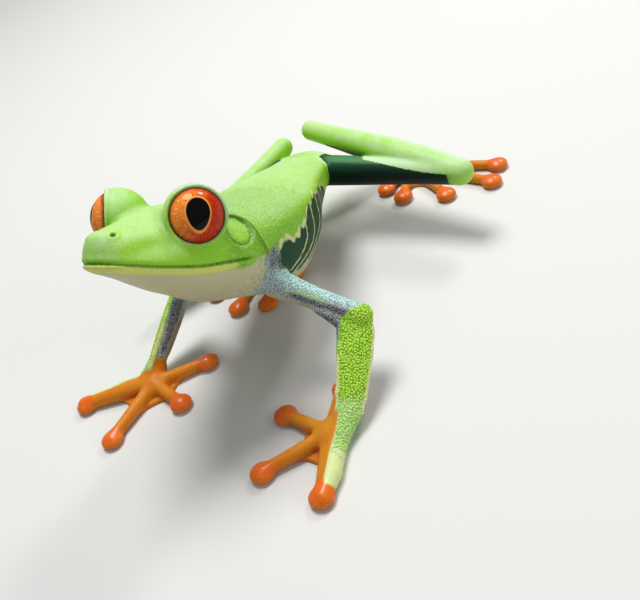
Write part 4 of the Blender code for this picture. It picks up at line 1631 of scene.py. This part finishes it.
def granule_tree():
    """Scatters small flattened balls over the parts of a mesh that a mask chooses."""
    grove = Grove("granules")
    skin = grove.asks("Geometry", "NodeSocketGeometry")
    where = grove.asks("Where", "NodeSocketString")
    spacing = grove.asks("Spacing", "NodeSocketFloat")
    radius = grove.asks("Radius", "NodeSocketFloat")
    height = grove.asks("Height", "NodeSocketFloat")
    patch_radius = grove.asks("Patch Radius", "NodeSocketFloat")
    material = grove.asks("Material", "NodeSocketMaterial")

    def attribute(kind, name):
        return grove.node("GeometryNodeInputNamedAttribute", {"data_type": kind}, {"Name": name})

    def kept(geometry, kind, domain, name, value):
        settings = {"data_type": kind, "domain": domain}
        values = {0: geometry, "Name": name, "Value": value}
        return grove.node("GeometryNodeStoreNamedAttribute", settings, values)

    def maths(operation, *values, **settings):
        return grove.node("ShaderNodeMath", {"operation": operation, **settings}, dict(enumerate(values)))

    mask = attribute("FLOAT", where)
    chosen = maths("GREATER_THAN", mask, LEAST_MASK)
    part = {"Geometry": skin, "Selection": chosen}
    spread = {
        "Mesh": grove.node("GeometryNodeSeparateGeometry", {"domain": "POINT"}, part),
        "Distance Min": spacing,
        "Density Max": GRANULES_PER_AREA,
        "Density Factor": mask,
        "Seed": GRANULE_SEED,
    }
    points = grove.node("GeometryNodeDistributePointsOnFaces", {"distribute_method": "POISSON"}, spread)
    turn = points.node.outputs["Rotation"]

    ball = grove.node("GeometryNodeMeshIcoSphere", None, {"Radius": 1.0, "Subdivisions": 1})
    spot = grove.node("GeometryNodeInputPosition")
    level = grove.node("ShaderNodeSeparateXYZ", None, {0: spot}, out=2)
    # Height on a granule, by which the skin's material paints light on its top and shade at its foot.
    rise = maths("MULTIPLY_ADD", level, RISE_SLOPE, 1.0 - RISE_SLOPE, use_clamp=True)
    ball = kept(ball, "FLOAT_VECTOR", "POINT", "patch", spot)
    ball = kept(ball, "FLOAT", "POINT", "rise", rise)
    ball = kept(ball, "FLOAT", "POINT", "granule", 1.0)
    ball = grove.node("GeometryNodeSetShadeSmooth", None, {"Geometry": ball})

    least, most = SIZE_SPREAD
    span = {2: least, 3: most, "Seed": GRANULE_SEED}
    chance = grove.node("FunctionNodeRandomValue", {"data_type": "FLOAT"}, span, 1)
    width = maths("MULTIPLY", radius, chance)
    tall = maths("MULTIPLY", width, height)
    size = grove.node("ShaderNodeCombineXYZ", None, {0: width, 1: width, 2: tall})
    planted = {"Points": points, "Instance": ball, "Rotation": turn, "Scale": size}
    grains = grove.node("GeometryNodeInstanceOnPoints", None, planted)
    grains = grove.node("GeometryNodeRealizeInstances", None, {"Geometry": grains})
    patch = {0: attribute("FLOAT_VECTOR", "patch"), "Scale": patch_radius}
    patch = grove.node("ShaderNodeVectorMath", {"operation": "SCALE"}, patch)
    chart = {0: attribute("FLOAT_VECTOR", "unwrap"), 1: patch}
    chart = grove.node("ShaderNodeVectorMath", {"operation": "ADD"}, chart)
    grains = kept(grains, "FLOAT2", "CORNER", "OFBake", chart)
    grove.gives(grove.node("GeometryNodeSetMaterial", None, {"Geometry": grains, "Material": material}))
    return grove.tree


def unwrap(mesh):
    """Lays the skin out flat on a map, by its own shape."""
    carrier = new_object("unwrapping", mesh)
    bpy.context.view_layer.objects.active = carrier
    carrier.select_set(True)
    mesh.uv_layers.new(name="unwrap")
    bpy.ops.object.mode_set(mode="EDIT")
    bpy.ops.mesh.select_all(action="SELECT")
    bpy.ops.uv.smart_project(angle_limit=UNWRAP_ANGLE, island_margin=UNWRAP_MARGIN)
    bpy.ops.object.mode_set(mode="OBJECT")
    return carrier


def make_granules(looks):
    """Grows the granules over a copy of the skin, which is then thrown away."""
    skin = bpy.data.objects["skin"]
    carrier = unwrap(skin.data.copy())
    tree = granule_tree()
    ids = {item.name: item.identifier for item in tree.interface.items_tree if item.in_out == "INPUT"}
    for name, where, spacing, radius, height in GRANULES:
        grower = carrier.modifiers.new("granules", "NODES")
        grower.node_group = tree
        grower[ids["Where"]] = where
        grower[ids["Spacing"]] = spacing * MM * looks["granule_scale"]
        grower[ids["Radius"]] = radius * MM * looks["granule_scale"]
        grower[ids["Height"]] = height
        grower[ids["Patch Radius"]] = PATCH_RADIUS
        grower[ids["Material"]] = skin.data.materials[0]
        graph = bpy.context.evaluated_depsgraph_get()
        mesh = bpy.data.meshes.new_from_object(carrier.evaluated_get(graph), depsgraph=graph)
        carrier.modifiers.remove(grower)
        mesh.name = name
        new_piece(name, mesh)
    bpy.data.objects.remove(carrier)


EYE_RINGS = 40
EYE_STEPS = 72


def make_eye(side, material):
    """An eyeball, drawn in rings from its front to its back."""
    out = SIDES[side]
    axis = eye_axis(out)
    upwards = unit(np.array((0.0, 0.0, 1.0)) - axis * axis[2])
    forwards = np.cross(axis, upwards) * out
    points, faces, flat = [], [], []
    for ring in range(1, EYE_RINGS):
        tilt = math.pi * ring / EYE_RINGS
        for step in range(EYE_STEPS):
            turn = 2.0 * math.pi * step / EYE_STEPS
            x, y = math.sin(tilt) * math.cos(turn), math.sin(tilt) * math.sin(turn)
            z = math.cos(tilt)
            points.append(forwards * x + upwards * y + axis * z)
            reach = math.hypot(x, y) if z > 0 else 2.0 - math.hypot(x, y)
            flat.append((reach * math.cos(turn), reach * math.sin(turn)))
    front, back = len(points), len(points) + 1
    points += [axis, -axis]
    flat += [(0.0, 0.0), (2.0, 0.0)]
    for ring in range(EYE_RINGS - 2):
        for step in range(EYE_STEPS):
            a, b = ring * EYE_STEPS + step, ring * EYE_STEPS + (step + 1) % EYE_STEPS
            faces.append((a, a + EYE_STEPS, b + EYE_STEPS, b))
    last = (EYE_RINGS - 2) * EYE_STEPS
    for step in range(EYE_STEPS):
        following = (step + 1) % EYE_STEPS
        faces.append((front, step, following))
        faces.append((back, last + following, last + step))
    if out > 0:
        faces = [face[::-1] for face in faces]
    points = out_of_head(np.array(points) * EYE_RADIUS + eye_centre(out))
    mesh = new_mesh(f"eyeball_{side}", points, faces, material)
    layer = mesh.uv_layers.new(name="iris")
    for loop, uv in zip(mesh.loops, layer.data):
        uv.uv = flat[loop.vertex_index]
    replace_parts(new_piece(f"eyeball_{side}", mesh), f"eye_{side}")


# ---------------------------------------------------------------- the stage

VIEW_AZIMUTH = math.radians(29.8)
VIEW_ELEVATION = math.radians(37.1)
VIEW_ROLL = math.radians(-24.1)
VIEW_DISTANCE = 96.5
VIEW_TARGET = (12.3, -12.7, 12.0)
VIEW_LENS = 44.16
SENSOR_WIDTH = 36.0
NEAREST_SEEN = 0.001
# (name, place, what it points at, size, power, colour, whether it is mirrored)
LAMPS = (
    ("overhead", (-0.05, 0.12, 0.42), (0.0, 0.0, 0.01), 0.20, 1.7, (1.0, 1.0, 1.0), True),
    ("window", (0.13, 0.32, 0.31), (0.0, -0.01, 0.02), 0.10, 0.6, (1.0, 0.95, 0.94), True),
    ("fill", (0.45, -0.15, 0.20), (0.0, 0.0, 0.01), 0.30, 0.6, (1.0, 1.0, 1.0), False),
)
SKY = {"Color": (0.95, 0.98, 1.0, 1.0), "Strength": 0.30}
FLOOR_ROUGHNESS = 0.7


def make_camera():
    back = np.array((
        math.sin(VIEW_AZIMUTH) * math.cos(VIEW_ELEVATION),
        -math.cos(VIEW_AZIMUTH) * math.cos(VIEW_ELEVATION),
        math.sin(VIEW_ELEVATION),
    ))
    level = np.array((math.cos(VIEW_AZIMUTH), math.sin(VIEW_AZIMUTH), 0.0))
    upright = np.cross(back, level)
    right = level * math.cos(VIEW_ROLL) + upright * math.sin(VIEW_ROLL)
    upwards = upright * math.cos(VIEW_ROLL) - level * math.sin(VIEW_ROLL)
    camera = new_object("camera", bpy.data.cameras.new("camera"))
    camera.data.lens = VIEW_LENS
    camera.data.sensor_width = SENSOR_WIDTH
    camera.data.clip_start = NEAREST_SEEN
    place = placed(np.array(VIEW_TARGET) + back * VIEW_DISTANCE)
    turn = Matrix([right, upwards, back]).transposed().to_4x4()
    camera.matrix_world = Matrix.Translation(place) @ turn
    bpy.context.scene.camera = camera


def make_lamp(name, place, target, size, power, colour, mirrored):
    lamp = bpy.data.lights.new(name, "AREA")
    lamp.shape = "DISK"
    lamp.size = size
    lamp.energy = power
    lamp.color = colour
    holder = new_object(name, lamp)
    holder.location = place
    direction = Vector(target) - Vector(place)
    holder.rotation_euler = direction.to_track_quat("-Z", "Y").to_euler()
    holder.visible_glossy = mirrored


def make_stage(looks):
    half = looks["stage_size"] / 2.0
    corners = [(-half, -half, 0.0), (half, -half, 0.0), (half, half, 0.0), (-half, half, 0.0)]
    mesh = bpy.data.meshes.new("floor")
    mesh.from_pydata(corners, [], [(0, 1, 2, 3)])
    mesh.materials.append(plain_material("pale floor", looks["floor_colour"], FLOOR_ROUGHNESS))
    floor = new_object("floor", mesh)
    for lamp in LAMPS:
        make_lamp(*lamp)
    world = bpy.data.worlds.new("studio")
    bpy.context.scene.world = world
    world.use_nodes = True
    for name, value in SKY.items():
        world.node_tree.nodes["Background"].inputs[name].default_value = value
    bpy.context.scene.view_settings.view_transform = "Standard"
    make_camera()


# ---------------------------------------------------------------- the add-on


def colour(name, description, default):
    return bpy.props.FloatVectorProperty(
        name=name, description=description, default=default, subtype="COLOR", size=3, min=0.0, max=1.0
    )


class FrogLooks(bpy.types.PropertyGroup):
    """The colours and sizes that someone may want to change before making the pieces."""

    leaf_green: colour("Leaf green", "Of the back, the head and the legs", (0.320, 0.640, 0.036))
    sun_green: colour("Sun green", "The lighter patches in that green", (0.440, 0.700, 0.085))
    # Mint is also the painted sheen on what faces up and the painted highlight on the granules' tops.
    mint: colour("Mint", "Palest green, on what faces up", (0.530, 0.720, 0.420))
    arm_blue: colour("Arm blue", "Of the upper arm's pale top", (0.550, 0.800, 0.740))
    night: colour("Night", "The darkest blue of the flanks and thighs", (0.002, 0.011, 0.007))
    edge_cream: colour("Edge cream", "Of the flank's bars and the forearm's folds", (0.700, 0.700, 0.330))
    # Darker and more olive than clean cream: painted shade and painted green bounce light.
    belly_cream: colour("Belly cream", "Of the throat and the belly", (0.500, 0.500, 0.290))
    orange: colour("Orange", "Of the hands and feet", (0.600, 0.165, 0.005))
    amber: colour("Amber", "The lighter patches in that orange", (0.610, 0.270, 0.015))
    disc_red: colour("Disc red", "Of the finger and toe discs", (0.720, 0.130, 0.008))
    iris_red: colour("Iris red", "Of the iris's back", (0.420, 0.010, 0.001))
    iris_orange: colour("Iris orange", "Of the iris's front", (0.840, 0.210, 0.018))
    iris_gold: colour("Iris gold", "Round the pupil and in the iris's streaks", (0.860, 0.360, 0.050))
    granule_scale: bpy.props.FloatProperty(
        name="Granule size",
        description="Against a real frog's",
        default=1.0,
        min=0.7,
        max=2.0,
        subtype="FACTOR",
    )
    stage_size: bpy.props.FloatProperty(
        name="Stage size", description="Width of the floor", default=3.0, min=0.5, max=10.0, unit="LENGTH"
    )
    floor_colour: colour("Floor", "Of the plain floor", (0.66, 0.66, 0.64))


def chosen_looks(context):
    """The chosen colours and sizes by name, as plain numbers."""
    group = context.scene.frog_looks
    values = {name: getattr(group, name) for name in FrogLooks.__annotations__}
    return {name: value if isinstance(value, float) else tuple(value) for name, value in values.items()}


class FROG_OT_skin(bpy.types.Operator):
    """Makes the one skin that covers the body"""

    bl_idname = "frog.skin"
    bl_label = "Skin"

    def execute(self, context):
        make_skin(chosen_looks(context))
        return {"FINISHED"}


class FROG_OT_granules(bpy.types.Operator):
    """Grows the granules over the skin, which is made first"""

    bl_idname = "frog.granules"
    bl_label = "Granules"

    def execute(self, context):
        make_granules(chosen_looks(context))
        return {"FINISHED"}


class FROG_OT_eyes(bpy.types.Operator):
    """Makes both eyes, with iris and pupil"""

    bl_idname = "frog.eyes"
    bl_label = "Eyes"

    def execute(self, context):
        material = eye_material(chosen_looks(context))
        for side in SIDES:
            make_eye(side, material)
        return {"FINISHED"}


class FROG_OT_stage(bpy.types.Operator):
    """Makes the floor, the lights and the camera"""

    bl_idname = "frog.stage"
    bl_label = "Stage"

    def execute(self, context):
        make_stage(chosen_looks(context))
        return {"FINISHED"}


OPERATORS = (FROG_OT_skin, FROG_OT_granules, FROG_OT_eyes, FROG_OT_stage)


class FROG_PT_panel(bpy.types.Panel):
    """Lists the frog's colours, sizes and pieces"""

    bl_idname = "FROG_PT_panel"
    bl_label = "Tree frog"
    bl_space_type = "VIEW_3D"
    bl_region_type = "UI"
    bl_category = "Tree frog"

    def draw(self, context):
        for name in FrogLooks.__annotations__:
            self.layout.prop(context.scene.frog_looks, name)
        for operator in OPERATORS:
            self.layout.operator(operator.bl_idname)


CLASSES = (FrogLooks, *OPERATORS, FROG_PT_panel)


def register():
    for each in CLASSES:
        bpy.utils.register_class(each)
    bpy.types.Scene.frog_looks = bpy.props.PointerProperty(type=FrogLooks)


def unregister():
    del bpy.types.Scene.frog_looks
    for each in reversed(CLASSES):
        bpy.utils.unregister_class(each)


def main():
    register()
    bpy.ops.frog.skin()
    bpy.ops.frog.granules()
    bpy.ops.frog.eyes()
    bpy.ops.frog.stage()


if __name__ == "__main__":
    main()
